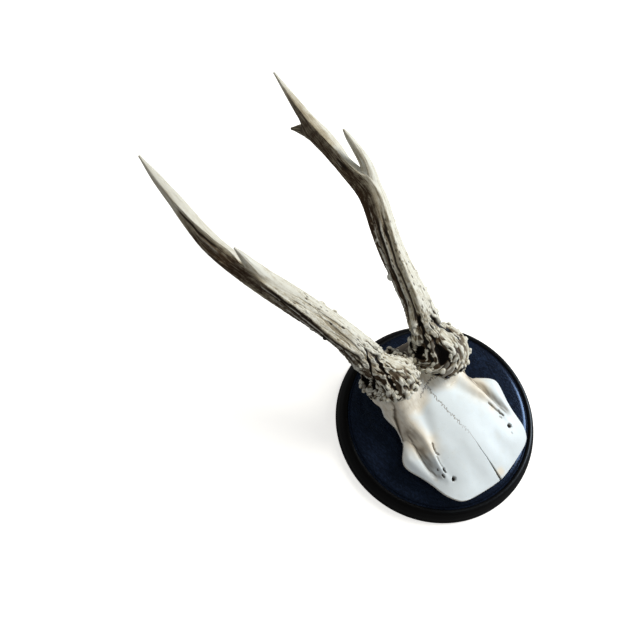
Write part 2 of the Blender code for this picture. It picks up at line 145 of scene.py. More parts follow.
# Antlers: the axis from the burr to the tip, with the stem's radius at each point.
ANTLERS = {
    "right": {
        "axis": [
            (-19.8, 36.3, 47.5, 9.4), (-24.4, 47.0, 56.5, 9.2), (-27.8, 57.1, 63.0, 8.9),
            (-36.3, 82.8, 74.0, 8.4), (-47.6, 113.0, 82.5, 7.6), (-55.9, 134.9, 88.0, 6.3),
            (-61.0, 157.3, 93.0, 5.8), (-61.5, 182.1, 98.0, 4.6), (-61.7, 206.1, 102.5, 2.9),
            (-61.4, 221.5, 105.5, 0.7),
        ],
        "burr_normal": (-0.12, 0.38, 0.92),
        "inward": 1.0,
        "swell": -0.12,
        "seed": 11,
        # Faces of the wedge: angle of the middle from the ridge, and distance against the radius.
        "faces": [(34.0, 0.92), (-47.0, 0.76)],
        "keel": [
            (26.0, -30.0), (33.0, -36.0), (42.0, -49.0), (51.0, -52.0), (68.0, -40.0),
            (85.0, -34.0), (105.0, -24.0), (118.0, -8.0), (123.0, 10.0), (128.0, 16.0),
            (144.0, 6.0), (156.0, -11.0), (170.0, -26.0), (215.0, -34.0),
        ],
        # Brown patches that also paint the shade of the side they lie on: place along the antler,
        # angle, half length and half width.
        "stains_and_shade": [(122.0, -62.0, 44.0, 7.0), (116.0, -38.0, 18.0, 5.0), (60.0, -95.0, 44.0, 8.0)],
        "lines": [
            ([(28, -52), (33, -47), (42, -62), (51, -66), (68, -52), (89, -44), (102, -35)], 0.8, -0.8),
            ([(30, -64), (42, -76), (51, -86), (62, -73), (77, -59), (95, -47), (108, -42)], 0.8, 0.5),
            ([(30, -80), (42, -92), (52, -104), (66, -84), (84, -62), (98, -60)], 0.9, -0.8),
            ([(40, -112), (52, -122), (66, -104), (84, -86), (96, -84)], 0.8, 0.5),
            ([(132, -14), (144, -22), (156, -36), (168, -48)], 0.7, -0.45),
            ([(128, -34), (144, -42), (160, -58)], 0.7, 0.35),
        ],
        # Flutes and gaps of the burr: places over the surface and angles, half width and height.
        "flutes": [
            ([(43, -4), (39, -23), (34, -38), (29, -60), (24, -85)], 0.75, -2.4),
            ([(41, 38), (36, 13), (28, -17), (23, -40)], 1.2, 1.7),
            ([(36, 0), (32, -12), (25, -26), (20, -36), (16.8, -38), (13.5, -38)], 0.9, -3.0),
            ([(36, 40), (30, 10), (24, -8), (19, -16), (14, -20)], 1.1, 1.5),
            ([(32, 66), (26, 74), (20, 70), (15, 62)], 1.1, -3.0),
            ([(40, -60), (34, -75), (27, -100), (22, -125)], 1.0, 1.4),
        ],
        # Smooth pale dishes: place, angle, half length, half width and depth.
        "dishes": [(21.0, 26.0, 6.0, 5.0, 1.6)],
        "knobs": [
            (16.0, -150.0, 4.6, 4.8, -5.0), (22.5, -110.0, 6.0, 3.4, -4.6),
            (12.5, 112.0, 3.4, 5.2, 5.0), (14.4, 110.0, 1.8, 2.4, -5.0),
            (11.5, 84.0, 3.0, 2.6, 3.0),
            (14.4, 20.0, 1.9, 1.7, 2.8), (15.6, -2.0, 1.3, 2.2, 2.4), (10.5, 10.6, 2.3, 2.3, 2.4),
            (16.8, -22.0, 1.8, 1.7, 2.2), (13.4, -23.0, 1.6, 1.6, 2.2), (37.2, -85.0, 1.6, 1.5, 1.6),
            (15.9, -60.0, 2.8, 1.8, 2.4), (14.0, -105.0, 1.8, 1.8, 2.2), (12.0, -126.0, 1.9, 1.9, 2.3),
            (77.0, 68.0, 2.2, 1.3, 1.3), (68.0, 72.0, 1.8, 1.3, 1.5), (73.5, -110.0, 1.6, 1.1, 1.8),
            (64.0, -112.0, 1.5, 1.2, 2.2), (99.2, -60.0, 1.2, 0.9, 0.9),
        ],
    },
    "left": {
        "axis": [
            (14.8, 30.8, 47.5, 9.6), (15.2, 39.1, 57.5, 9.3), (18.0, 55.0, 67.5, 8.5),
            (23.4, 80.9, 76.5, 7.7), (33.9, 110.5, 84.0, 7.8), (38.8, 124.0, 87.0, 7.8),
            (37.7, 146.2, 91.5, 5.5), (37.9, 165.4, 95.3, 4.9), (38.0, 185.3, 99.0, 4.5),
            (39.3, 204.1, 102.8, 2.7), (41.1, 222.2, 106.5, 0.7),
        ],
        "burr_normal": (0.10, 0.14, 0.985),
        "inward": -1.0,
        "swell": 0.16,
        "seed": 29,
        "faces": [(40.0, 0.93), (-50.0, 0.70)],
        "keel": [
            (26.0, -28.0), (32.0, -25.0), (38.0, -21.0), (52.0, -13.0), (64.0, -4.0), (77.0, 5.0),
            (89.0, 12.0), (102.0, 10.0), (112.0, 4.0), (119.0, 2.0), (126.0, -14.0),
            (136.0, -10.0), (145.0, -17.0), (159.0, -30.0), (173.0, -34.0), (215.0, -40.0),
        ],
        "stains_and_shade": [(112.0, -84.0, 50.0, 10.0), (160.0, -92.0, 40.0, 11.0), (172.0, -130.0, 22.0, 9.0),
                   (60.0, -112.0, 40.0, 6.0)],
        "lines": [
            ([(27, -50), (33, -48), (47, -38), (63, -26), (77, -14), (91, -6), (104, -8)], 0.7, -0.5),
            ([(28, -74), (33, -72), (47, -66), (63, -51), (76, -36), (91, -26), (104, -20), (118, -12)],
             1.0, 0.7),
            ([(28, -92), (40, -90), (50, -84), (64, -70), (77, -52), (91, -42), (108, -36)], 0.8, -0.8),
            ([(36, -110), (50, -104), (64, -90), (77, -76), (92, -68)], 0.8, 0.5),
            ([(36, -128), (50, -122), (64, -106), (77, -94)], 0.9, -0.7),
            ([(128, -40), (140, -44), (152, -52), (164, -62)], 0.7, -0.5),
            ([(132, -60), (146, -66), (160, -74)], 0.7, 0.35),
        ],
        "flutes": [
            ([(40, -54), (34, -68), (27, -82), (21, -84), (15.5, -78)], 2.1, 3.0),
            ([(42, -34), (34, -42), (25.5, -58), (19, -58), (14.5, -50)], 1.05, -3.4),
            ([(36, -14), (30.5, -11), (24, -4), (20, 4), (15, 12)], 1.2, 1.8),
            ([(30, -26), (23, -22), (18, -12), (15, -4)], 0.8, -2.2),
            ([(40, 10), (32, 26), (25, 40), (18, 46)], 0.7, -2.0),
            ([(38, 24), (30, 42), (24, 62), (17, 72)], 1.1, 1.6),
        ],
        "dishes": [(24.0, 22.0, 4.5, 3.4, 1.0), (20.0, -84.0, 5.0, 2.4, 0.2)],
        "knobs": [
            (23.4, -38.0, 3.6, 1.9, 2.6), (28.5, -88.0, 2.4, 4.6, 6.5), (28.5, -112.0, 2.4, 5.5, 9.0),
            (21.5, -106.0, 5.6, 6.0, -5.0),
            (14.0, -122.0, 3.2, 4.0, 3.0), (19.0, -22.0, 4.6, 3.6, -4.0),
            (24.6, 55.0, 2.6, 2.4, -3.6), (16.4, 9.0, 2.0, 1.9, 2.6),
            (11.4, 10.0, 3.0, 4.6, 2.2), (14.6, 16.0, 0.9, 0.9, -1.8), (14.7, -8.0, 1.6, 1.7, 2.4),
            (15.3, -90.0, 4.2, 4.2, -3.4), (92.4, -82.0, 1.6, 1.2, 1.0), (70.0, -104.0, 1.8, 1.3, 1.9),
            (48.0, 38.0, 1.8, 1.4, 1.4), (40.0, 62.0, 2.0, 1.6, 1.6), (54.0, 70.0, 1.6, 1.3, 1.3),
        ],
        "holes": [(11.0, 3.0, 1.7, 2.3, -3.2), (11.6, 19.0, 1.3, 1.4, -2.8)],
    },
}
BURR_DEPTH = 3.0                 # from the first point of the axis down to the burr's underside
# Burr: distance along the axis from its underside and the radius there, under its relief.
BURR_PROFILE = [
    (0.0, 9.5), (-0.4, 13.5), (0.0, 16.8), (1.4, 18.4), (3.4, 18.6), (5.4, 16.9), (8.2, 14.0),
    (11.0, 11.8), (14.5, 10.1), (19.0, 9.2), (24.0, 9.0), (28.0, 8.9),
]
BURR_END = 26.0
BURR_UNDERSIDE = 10.0            # length over the surface from the burr's middle to past its rim
BURR_ROW_STEP = 0.30
BURR_SQUEEZE = 0.17              # how much flatter the burr is on the side of the other antler
BURR_FADE = (20.0, 12.0)         # where, down the axis, that flatness and the swell set in
STEM_START = 21.0
STEM_ROW_STEP = 0.42
COLUMNS = {"burr": 340, "stem": 190}
HOLLOW_REACH = {"burr": (8, 7), "stem": (6, 8)}  # rows and columns over which hollows are judged
WEDGE_FADE = (27.0, 42.0)        # where, up the axis, the wedge section sets in
WEDGE_TIP = 60.0                 # length under the tip over which it dies out again
SEAM = {"burr": (24.2, 25.8), "stem": (23.8, 21.6)}  # where, along the axis, each one dips
SEAM_SINK = 0.6                  # how far the one that ends there dips under the other
PROFILE_TO_STEM = (19.0, 27.0)   # where the radius goes over from the burr's to the stem's
STEM_PEARLS = (34, 30.0, 95.0)   # how many, from where over the surface, and how far they reach
# Relief of the antlers. Each pair is the length over the surface where a kind of relief begins and
# where it is full.
FOOT = (60.0, 22.0)              # the burr's coarse relief
STEM_RELIEF = (170.0, 90.0)      # the stem's relief below its smooth upper part
RIM = (18.0, 12.0)               # pebbles at the burr's rim
PITTED = (24.0, 36.0)            # pits of the stem
FORK = (0.8, 0.1)                # swelling of a fork, over which the stem's relief dies out
CREST_LENGTH = 2.4               # length of a crest at the rim, and what it gains further up
CREST_GAINS = [(1.8, 18.0, 28.0), (14.0, 28.0, 60.0)]
CREST_MEAN = 0.6
FINE_CRESTS = (0.6, 1.7)         # height and fineness of the smaller crests against the others
CREST_LIMITS = {"foot": (-0.28, 0.2), "stem": (-0.72, -0.3)}  # noise in a gap and on a crest
STEM_CREST = 0.7                 # height of the stem's ridges
KNOB_HEIGHTS = (1.7, 0.25)       # height of the small knobs on the burr and on the stem
RIM_HEIGHT = 2.4
PIT_SHARE = 0.09                 # share of the cells that hold a pit
# Noises of the relief: cells in the radius they are wrapped round, length of a cell, and a number.
RELIEF_NOISES = {
    "shaken over": (6.0, 3.6, 1), "shaken round": (6.0, 3.6, 2), "crests": (8.4, 1.0, 3),
    "fine crests": (13.0, 1.0, 4), "rim": (7.2, 2.4, 5), "pits": (8.5, 2.4, 6),
    "faint": (8.5, 9.0, 7), "knobs": (11.0, 1.7, 8), "wobble": (2.0, 7.0, 9),
    "ragged": (5.5, 2.2, 10),
}
# Two of these values carry painted shade: one darkens the side that faces -X, away from the key light,
# and the brown patches laid on that side stand partly for its shade.
ANTLER_VALUES = ("hollow", "rise", "crease", "burr", "tip", "stained", "flank")

# Tines: the antler each grows from, how widely it runs into the stem, how far the stem swells
# towards it at most, and the axis with the radius from inside the stem to the tip.
TINES = {
    "right_front_tine": ("right", 2.4, 7.0, [
        (-34.0, 80.0, 73.0, 2.0), (-39.4, 95.5, 79.5, 4.4), (-45.4, 111.0, 84.5, 5.4),
        (-50.6, 124.2, 91.0, 4.8), (-53.6, 131.0, 99.0, 2.9), (-55.6, 135.2, 105.0, 1.6),
        (-56.9, 137.1, 108.5, 0.5),
    ]),
    "left_front_tine": ("left", 2.4, 8.0, [
        (25.4, 85.0, 78.0, 1.8), (31.3, 101.0, 83.0, 4.6), (38.0, 117.5, 87.5, 5.8),
        (42.9, 129.6, 92.7, 4.9), (44.9, 138.1, 98.6, 3.9), (44.4, 147.3, 104.6, 2.9),
        (43.3, 155.6, 110.0, 1.8), (42.8, 158.8, 112.3, 0.6),
    ]),
    "left_rear_tine": ("left", 8.0, 10.0, [
        (38.4, 158.0, 93.5, 2.0), (38.9, 172.0, 93.0, 4.3), (38.9, 182.5, 90.0, 4.9),
        (37.7, 190.3, 85.8, 3.3), (34.9, 196.6, 82.2, 0.7),
    ]),
}
TINE_COLUMNS = 100
TINE_ROW_STEP = 0.36
TINE_TONES = {"front": (1.0, 0.0), "rear": (0.25, 0.8)}  # how pale the tip is, and how brown all is; the rear tine's brown also paints the shade it lies in

# Beads: the free pearls crowded round a burr. Each row is a place over the surface, how many
# there are, and their least and greatest radius.
BEAD_ROWS = [
    (6.8, 24, 0.8, 1.3), (8.6, 30, 1.0, 1.9), (10.6, 30, 1.1, 2.2), (12.8, 22, 1.0, 1.9),
    (15.4, 18, 0.8, 1.5), (18.6, 14, 0.7, 1.3), (22.0, 10, 0.6, 1.1),
]
BEAD_RINGS = 6
BEAD_COLUMNS = 9
BEAD_SINK = 0.3                  # how deep a bead sits, against its size
BEAD_LEAST_HEIGHT = -0.4         # beads stand above this height of the relief
BEAD_GREATEST_STEP = 1.0         # and where the relief is at most this far from its surroundings

# Pedicles: bone stalks below the burrs. Share of the length from the burr down, and the radius.
PEDICLE_LENGTH = 22.0
PEDICLE_PROFILE = [
    (0.0, 10.6), (0.12, 11.0), (0.24, 12.4), (0.36, 14.7), (0.5, 16.4), (0.75, 16.0), (1.0, 11.0),
]
PEDICLE_ROWS = 70
PEDICLE_COLUMNS = 180
PEDICLE_ROUNDING = 6.0           # rounding of the corner between a stalk and the dome
PEDICLE_REACH = 6.5              # how far the two swell towards each other at most
PEDICLE_SINK = 3.2               # how far the lower end of a stalk's surface sinks into the dome
# Groove between the temporal ridge and the wall outside it, on both sides: a line in plan, then its
# half width, depth and the darkness of the shadow painted along it.
WALL_GROOVE = [(26.0, 30.0), (26.4, 21.0), (27.7, 14.7), (29.5, 9.5), (32.4, 2.8)]
WALL_GROOVE_SHAPE = (1.1, 2.4, 0.75)

# Camera, in millimetres: where it stands, what it looks at and what is upright in the picture.
# Its focal length is given in pixels of the square picture.
CAMERA_PLACE = (-154.8, -12.3, 424.5)
CAMERA_TARGET = (-12.2, 104.6, 0.0)
CAMERA_UPRIGHT = (0.5818, 0.7128, 0.3917)
CAMERA_FOCAL_PIXELS = 650.0
PICTURE_PIXELS = 640.0
SENSOR_WIDTH = 36.0
# Lights: where each stands and what it points at in millimetres, its width and height in metres,
# its colour, and whether it lights matt surfaces and shows in reflections.
LIGHTS = {
    "key": ((800.0, -80.0, 880.0), (0.0, 90.0, 60.0), (0.5, 0.5), (1.0, 0.97, 0.92), True, False),
    "window": ((880.0, -380.0, 330.0), (0.0, 0.0, 10.0), (0.4, 0.4), (0.5, 0.72, 1.0), True, True),
    "sheen": ((791.0, -457.0, 417.0), (0.0, 0.0, 10.0), (0.6, 0.65), (0.75, 0.87, 1.0), False, True),
}
SKY_COLOUR = (0.97, 0.98, 1.0, 1.0)
SKY_REFLECTED = 0.25             # how much of the sky's light shows in reflections
FLOOR_HALF_WIDTH = 3.0           # in metres


# ---------------------------------------------------------------- mathematics

def smooth(values, start, end):
    """Zero at start, one at end, and 3t^2 - 2t^3 between."""
    share = np.clip((values - start) / (end - start), 0.0, 1.0)
    return share * share * (3.0 - 2.0 * share)


def unit(vectors):
    """Scale each vector to length one."""
    return vectors / np.linalg.norm(vectors, axis=-1, keepdims=True)


def wrap(turn):
    """Bring each angle between minus and plus half a turn."""
    return (turn + np.pi) % ROUND - np.pi


def natural_spline(knots, values, at):
    """Natural cubic spline through the values at the knots, read at the given places."""
    knots = np.asarray(knots, dtype=float)
    values = np.asarray(values, dtype=float)
    steps = np.diff(knots)
    count = len(knots)
    system = np.eye(count)
    right_side = np.zeros_like(values)
    for i in range(1, count - 1):
        system[i, i - 1:i + 2] = (steps[i - 1], 2.0 * (steps[i - 1] + steps[i]), steps[i])
        rise = (values[i + 1] - values[i]) / steps[i] - (values[i] - values[i - 1]) / steps[i - 1]
        right_side[i] = 6.0 * rise
    bends = np.linalg.solve(system, right_side)
    shape = np.shape(at)
    at = np.ravel(at)
    cell = np.clip(np.searchsorted(knots, at, side="right") - 1, 0, count - 2)
    before = at - knots[cell]
    after = knots[cell + 1] - at
    step = steps[cell]
    if values.ndim > 1:
        before, after, step = before[:, None], after[:, None], step[:, None]
    curve = (bends[cell] * after ** 3 + bends[cell + 1] * before ** 3) / (6.0 * step)
    curve += (values[cell] / step - bends[cell] * step / 6.0) * after
    curve += (values[cell + 1] / step - bends[cell + 1] * step / 6.0) * before
    return curve.reshape(shape + values.shape[1:])


def knots_along(points):
    """Distance along a line of points, measured straight from point to point."""
    steps = np.linalg.norm(np.diff(np.asarray(points, dtype=float), axis=0), axis=1)
    return np.concatenate([[0.0], np.cumsum(steps)])


def lattice(places, seed):
    """A repeatable value from -1 to 1 for each whole-number place, by scrambling its bits."""
    mixed = places[..., 0] * 374761393 + places[..., 1] * 668265263 + places[..., 2] * 974634777
    mixed = (mixed + seed * 1274126177) & 0xFFFFFFFF
    mixed = ((mixed ^ (mixed >> 13)) * 1274126177) & 0xFFFFFFFF
    mixed = mixed ^ (mixed >> 16)
    return mixed / 2147483648.0 - 1.0


def noise(places, seed):
    """Smooth noise from -1 to 1: the values at the eight whole-number corners round each place,
    blended by 6t^5 - 15t^4 + 10t^3."""
    cell = np.floor(places).astype(np.int64)
    part = places - cell
    blend = part ** 3 * (part * (part * 6.0 - 15.0) + 10.0)
    total = np.zeros(places.shape[:-1])
    for corner in range(8):
        offset = np.array([corner & 1, (corner >> 1) & 1, corner >> 2])
        weight = np.prod(np.where(offset == 1, blend, 1.0 - blend), axis=-1)
        total += weight * lattice(cell + offset, seed)
    return total


def rough(places, seed, octaves):
    """Noise with finer noise on it: each layer has half the size and half the height."""
    total = np.zeros(places.shape[:-1])
    for octave in range(octaves):
        total += noise(places * 2.0 ** octave, seed + 17 * octave) * 0.5 ** octave
    return total


def blurred(values, rows, columns):
    """Mean over a window of rows and columns, where the columns run round and close."""
    for axis, half, mode in ((0, rows, "edge"), (1, columns, "wrap")):
        edges = [(0, 0), (0, 0)]
        edges[axis] = (half + 1, half)
        sums = np.cumsum(np.pad(values, edges, mode=mode), axis=axis)
        width = 2 * half + 1
        size = values.shape[axis]
        upper = np.take(sums, np.arange(width, width + size), axis=axis)
        values = (upper - np.take(sums, np.arange(size), axis=axis)) / width
    return values


def nearest_on_piece(x, y, start, end):
    """Distance in plan to a straight piece of line, and the share of the way along it."""
    run_x, run_y = end[0] - start[0], end[1] - start[1]
    share = ((x - start[0]) * run_x + (y - start[1]) * run_y) / (run_x ** 2 + run_y ** 2)
    share = np.clip(share, 0.0, 1.0)
    return np.hypot(x - start[0] - share * run_x, y - start[1] - share * run_y), share


def nearest_on_line(x, y, line):
    """Distance in plan from each place to a line of points."""
    best = np.full(np.shape(x), np.inf)
    for start, end in zip(line[:-1], line[1:]):
        best = np.minimum(best, nearest_on_piece(x, y, start, end)[0])
    return best


def rounded_least(first, second, rounding):
    """Least of two distances, with the corner where they are equal rounded off."""
    overlap = np.maximum(rounding - np.abs(first - second), 0.0) / rounding
    return np.minimum(first, second) - overlap ** 2 * rounding / 4.0


# ---------------------------------------------------------------- meshes

def grid_quads(rows, columns, closed):
    """Corner numbers of a grid's quads; closed joins the last column to the first."""
    index = np.arange(rows * columns).reshape(rows, columns)
    following = np.roll(index, -1, axis=1)
    quads = np.stack([index[:-1], following[:-1], following[1:], index[1:]], axis=-1)
    if not closed:
        quads = quads[:, :-1]
    return quads.reshape(-1, 4)


def fan(ring, centre):
    """Triangles from a ring of corner numbers to one centre."""
    return np.stack([ring, np.roll(ring, -1), np.full(len(ring), centre)], axis=-1)


def tube_mesh(points, tip_reach):
    """Points and faces of a closed tube from a grid of rings: a flat start and a pointed end."""
    rows, columns = points.shape[:2]
    start, end = points[0].mean(axis=0), points[-1].mean(axis=0)
    forward = unit(end - points[-3].mean(axis=0))
    corners = np.vstack([points.reshape(-1, 3), start, end + tip_reach * forward])
    first = np.arange(columns)
    last = first + (rows - 1) * columns
    start_fan = fan(first[::-1], rows * columns)
    end_fan = fan(last, rows * columns + 1)
    return corners, [grid_quads(rows, columns, True), start_fan, end_fan]


def with_ends(values):
    """A grid's point values with one more for each end of the tube."""
    return np.concatenate([values.reshape(-1, *values.shape[2:]), values[0, :1], values[-1, :1]])


def make_piece(name, points, faces, values, material, nodes):
    """Make one piece from points in millimetres, blocks of face corners and named point values."""
    mesh = bpy.data.meshes.new(name)
    corners = np.concatenate([block.ravel() for block in faces])
    sizes = np.concatenate([np.full(len(block), block.shape[1]) for block in faces])
    mesh.vertices.add(len(points))
    mesh.vertices.foreach_set("co", (points * MM).astype(np.float32).ravel())
    mesh.loops.add(len(corners))
    mesh.loops.foreach_set("vertex_index", corners.astype(np.int32))
    mesh.polygons.add(len(sizes))
    starts = np.concatenate([[0], np.cumsum(sizes)[:-1]])
    mesh.polygons.foreach_set("loop_start", starts.astype(np.int32))
    mesh.update(calc_edges=True)
    mesh.shade_smooth()
    for label, data in values.items():
        if data.ndim > 1:
            attribute = mesh.attributes.new(label, "FLOAT_VECTOR", "POINT")
            attribute.data.foreach_set("vector", data.astype(np.float32).ravel())
        else:
            attribute = mesh.attributes.new(label, "FLOAT", "POINT")
            attribute.data.foreach_set("value", data.astype(np.float32))
    mesh.materials.append(material)
    piece = bpy.data.objects.new(name, mesh)
    bpy.context.scene.collection.objects.link(piece)
    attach(piece, "root")
    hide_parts(*nodes)
    return piece


def make_tube(name, points, tip_reach, values, material, nodes):
    """Make a piece from a grid of rings, closed at both ends."""
    corners, faces = tube_mesh(points, tip_reach)
    values = {label: with_ends(data) for label, data in values.items()}
    make_piece(name, corners, faces, values, material, nodes)


def outward(points, closed):
    """Unit normals of a grid: the cross product of its steps round and along."""
    if closed:
        around = np.roll(points, -1, axis=1) - np.roll(points, 1, axis=1)
    else:
        around = np.gradient(points, axis=1)
    return unit(np.cross(around, np.gradient(points, axis=0)))


# ---------------------------------------------------------------- antlers

def antler_path(side):
    """The antler's axis, begun at the burr's underside and square to the burr's plane."""
    axis = ANTLERS[side]["axis"]
    centre = np.array(axis[0][:3])
    normal = unit(np.array(ANTLERS[side]["burr_normal"]))
    radius = axis[0][3]
    start = centre - BURR_DEPTH * normal
    above = centre + 0.8 * BURR_DEPTH * normal
    return [(*start, radius), (*centre, radius), (*above, radius)] + axis[1:]


def path_along(axis, distances):
    """Centres, directions and radii at distances along a smooth axis."""
    data = np.asarray(axis, dtype=float)
    knots = knots_along(data[:, :3])
    step = 0.05
    centres = natural_spline(knots, data[:, :3], distances)
    ahead = natural_spline(knots, data[:, :3], distances + step)
    behind = natural_spline(knots, data[:, :3], distances - step)
    radii = np.interp(distances, knots, data[:, 3])
    return centres, unit(ahead - behind), radii


def spokes_round(directions, columns):
    """Unit vectors square to each direction; the first faces out of the plaque."""
    out = np.array([0.0, 0.0, 1.0])
    fronts = unit(out - (directions @ out)[:, None] * directions)
    sides = np.cross(directions, fronts)
    turn = np.arange(columns) * ROUND / columns
    spokes = np.cos(turn)[None, :, None] * fronts[:, None, :]
    return turn, spokes + np.sin(turn)[None, :, None] * sides[:, None, :]


def tube_distance(points, centres, radii):
    """Distance to a tapering tube, negative inside: the least of distance minus radius."""
    best = np.full(points.shape[:-1], np.inf)
    for centre, radius in zip(centres, radii):
        best = np.minimum(best, np.linalg.norm(points - centre, axis=-1) - radius)
    return best


def walk_out(centres, spokes, own, distance_to, reach):
    """Walk out along each spoke from its own radius until the joined surface is met. Its distance
    is asked for at each point and for how far that point has walked."""
    radius = own.copy()
    for _ in range(WALK_STEPS):
        inside = -distance_to(centres[:, None, :] + radius[..., None] * spokes, radius - own)
        radius = np.minimum(radius + np.maximum(inside, 0.0), own + reach)
    return radius


def sampled_tube(axis, start=0.0, end=None, spacing=0.8):
    """Closely spaced centres and radii along an axis."""
    length = knots_along(np.asarray(axis)[:, :3])[-1]
    distances = np.arange(start, min(end or length, length), spacing)
    centres, _, radii = path_along(axis, distances)
    return centres, radii


def profile_rows():
    """Rows of the burr: distance along the axis, radius, and length measured over the surface."""
    profile = np.array(BURR_PROFILE)
    knots = knots_along(profile)
    over = np.arange(0.0, knots[-1], BURR_ROW_STEP)
    rows = natural_spline(knots, profile, over)
    return rows[:, 0], rows[:, 1], over


def antler_rows(side, part):
    """Distance along the axis, plain radius and length over the surface for a burr or a stem."""
    path = antler_path(side)
    length = knots_along(np.asarray(path)[:, :3])[-1]
    along, radii, over = profile_rows()
    over_at_end = np.interp(BURR_END, along[len(along) // 2:], over[len(over) // 2:])
    if part == "burr":
        kept = (along <= BURR_END) | (over < BURR_UNDERSIDE)
        along, radii, over = along[kept], radii[kept], over[kept]
    else:
        stem = np.linspace(STEM_START, length, int((length - STEM_START) / STEM_ROW_STEP))
        radii = np.interp(stem, along[len(along) // 2:], radii[len(along) // 2:])
        along, over = stem, over_at_end + stem - BURR_END
    stem_radii = blurred(path_along(path, along)[2][:, None].repeat(3, axis=1), 8, 0)[:, 0]
    share = smooth(along, *PROFILE_TO_STEM)
    return along, radii * (1.0 - share) + stem_radii * share, over


def wedge(turn, radius, ridge, faces, amount):
    """Pare a round section to a wedge with its ridge at an angle: each face is a flat at a
    distance d from the axis, where the radius is d / cos(angle from the face's middle)."""
    pared = radius * (1.0 + 0.14 * amount * np.exp(-(wrap(turn - ridge) / 0.42) ** 2))
    for middle, distance in faces:
        away = wrap(turn - ridge - np.radians(middle))
        flat = distance * radius / np.maximum(np.cos(away), 0.2)
        pared = rounded_least(pared, pared + amount * (flat - pared), 0.35)
    return pared


def antler_base(side, part):
    """Bare form of a burr or stem: rings round the axis, flattened towards the other antler, and
    on a stem swollen where a tine grows out."""
    along, plain, over = antler_rows(side, part)
    centres, directions, _ = path_along(antler_path(side), along)
    turn, spokes = spokes_round(directions, COLUMNS[part])
    facing = np.cos(turn - ANTLERS[side]["inward"] * np.pi / 2.0)
    bulge = ANTLERS[side]["swell"] * np.maximum(0.0, -facing)
    bulge = bulge - BURR_SQUEEZE * np.maximum(0.0, facing)
    radius = plain[:, None] * (1.0 + smooth(along, *BURR_FADE)[:, None] * bulge)
    fork = np.zeros(radius.shape)
    if part == "stem":
        keel = np.array(ANTLERS[side]["keel"])
        ridge = np.radians(np.interp(along, keel[:, 0], keel[:, 1]))[:, None]
        amount = 0.35 + 0.65 * smooth(along, along[-1], along[-1] - WEDGE_TIP)
        amount = smooth(along, *WEDGE_FADE) * amount
        bare = wedge(turn[None, :], radius, ridge, ANTLERS[side]["faces"], amount[:, None])
        radius = bare.copy()
        for owner, rounding, reach, axis in TINES.values():
            if owner != side:
                continue
            tine = sampled_tube(axis)
            near = np.linalg.norm(centres[:, None] - tine[0], axis=-1).min(axis=1) < 22.0

            def joined(points, grown, tine=tine, rounding=rounding):
                away = tube_distance(points, *tine)
                return rounded_least(0.9 * grown, away, rounding) + JOIN_GAP

            grown = walk_out(centres[near], spokes[near], bare[near], joined, reach)
            radius[near] = np.maximum(radius[near], grown)
        fork = radius - bare
    whole = np.zeros(radius.shape)
    return {"along": along[:, None] + whole, "over": over[:, None] + whole, "turn": turn + whole,
            "radius": radius, "points": centres[:, None, :] + radius[..., None] * spokes, "fork": fork}


def domes(over, turn, radius, marks, power):
    """Greatest of a set of domes. Each is a place over the surface, an angle, half a length, half
    a width and a height, which falls as (1 - d^2) to a power, where d is the distance from its
    middle in those halves."""
    height = np.zeros(radius.shape)
    for place, angle, half_length, half_width, rise in marks:
        near = np.abs(over[:, 0] - place) < half_length + 1.5
        if not near.any():
            continue
        beyond = over[near] - place
        across = radius[near] * wrap(turn[near] - angle) / half_width
        fall = np.clip(1.0 - across ** 2 - (beyond / half_length) ** 2, 0.0, 1.0)
        height[near] = np.maximum(height[near], rise * fall ** power)
    return height


def cells(places, seed):
    """Pebbled pattern: one point shaken in each lattice cell. Gives the distance to the nearest
    point and to the next one, and a repeatable value from 0 to 1 for the nearest point's cell."""
    base = np.floor(places).astype(np.int64)
    nearest = np.full(places.shape[:-1], 9.0)
    following = np.full(places.shape[:-1], 9.0)
    value = np.zeros(places.shape[:-1])
    for step in np.ndindex(3, 3, 3):
        cell = base + np.array(step) - 1
        shaken = [cell[..., k] + 0.5 + 0.45 * lattice(cell, seed + k) for k in range(3)]
        away = np.sqrt(sum((shaken[k] - places[..., k]) ** 2 for k in range(3)))
        closer = away < nearest
        following = np.where(closer, nearest, np.minimum(following, away))
        value = np.where(closer, 0.5 + 0.5 * lattice(cell, seed + 3), value)
        nearest = np.where(closer, away, nearest)
    return nearest, following, value


def pebbles(places, seed, reach):
    """Domes round the pattern's points, sqrt(1 - (d / reach)^2), with cracks between them, and the
    value of each point's cell."""
    nearest, following, value = cells(places, seed)
    dome = np.sqrt(np.clip(1.0 - (nearest / reach) ** 2, 0.0, 1.0))
    crack = smooth(following - nearest, 0.16, 0.0)
    return dome * (1.0 - crack), value


def scattered_pearls(rng):
    """Pearls up the stem, fewer and flatter the higher they sit."""
    count, lowest, reach = STEM_PEARLS
    marks = []
    for _ in range(count):
        place = lowest + reach * rng.uniform(0.0, 1.0) ** 1.6
        size = rng.uniform(0.7, 1.35) * (1.0 - 0.4 * (place - lowest) / reach)
        marks.append((place, rng.uniform(0.0, ROUND), size * rng.uniform(1.1, 2.4), size,
                      size * rng.uniform(0.5, 0.9)))
    return marks


def placed(marks):
    """Marks as domes wants them: angles in radians, and hollows as domes too."""
    return [(place, np.radians(angle), length, width, abs(rise))
            for place, angle, length, width, rise in marks]


def round_places(turn, along, girth, stretch):
    """Places for noise that runs round the antler without a seam: on a cylinder whose radius is
    girth lattice cells, with one cell to each stretch millimetres along it."""
    return np.stack([girth * np.cos(turn), girth * np.sin(turn), along / stretch], axis=-1)


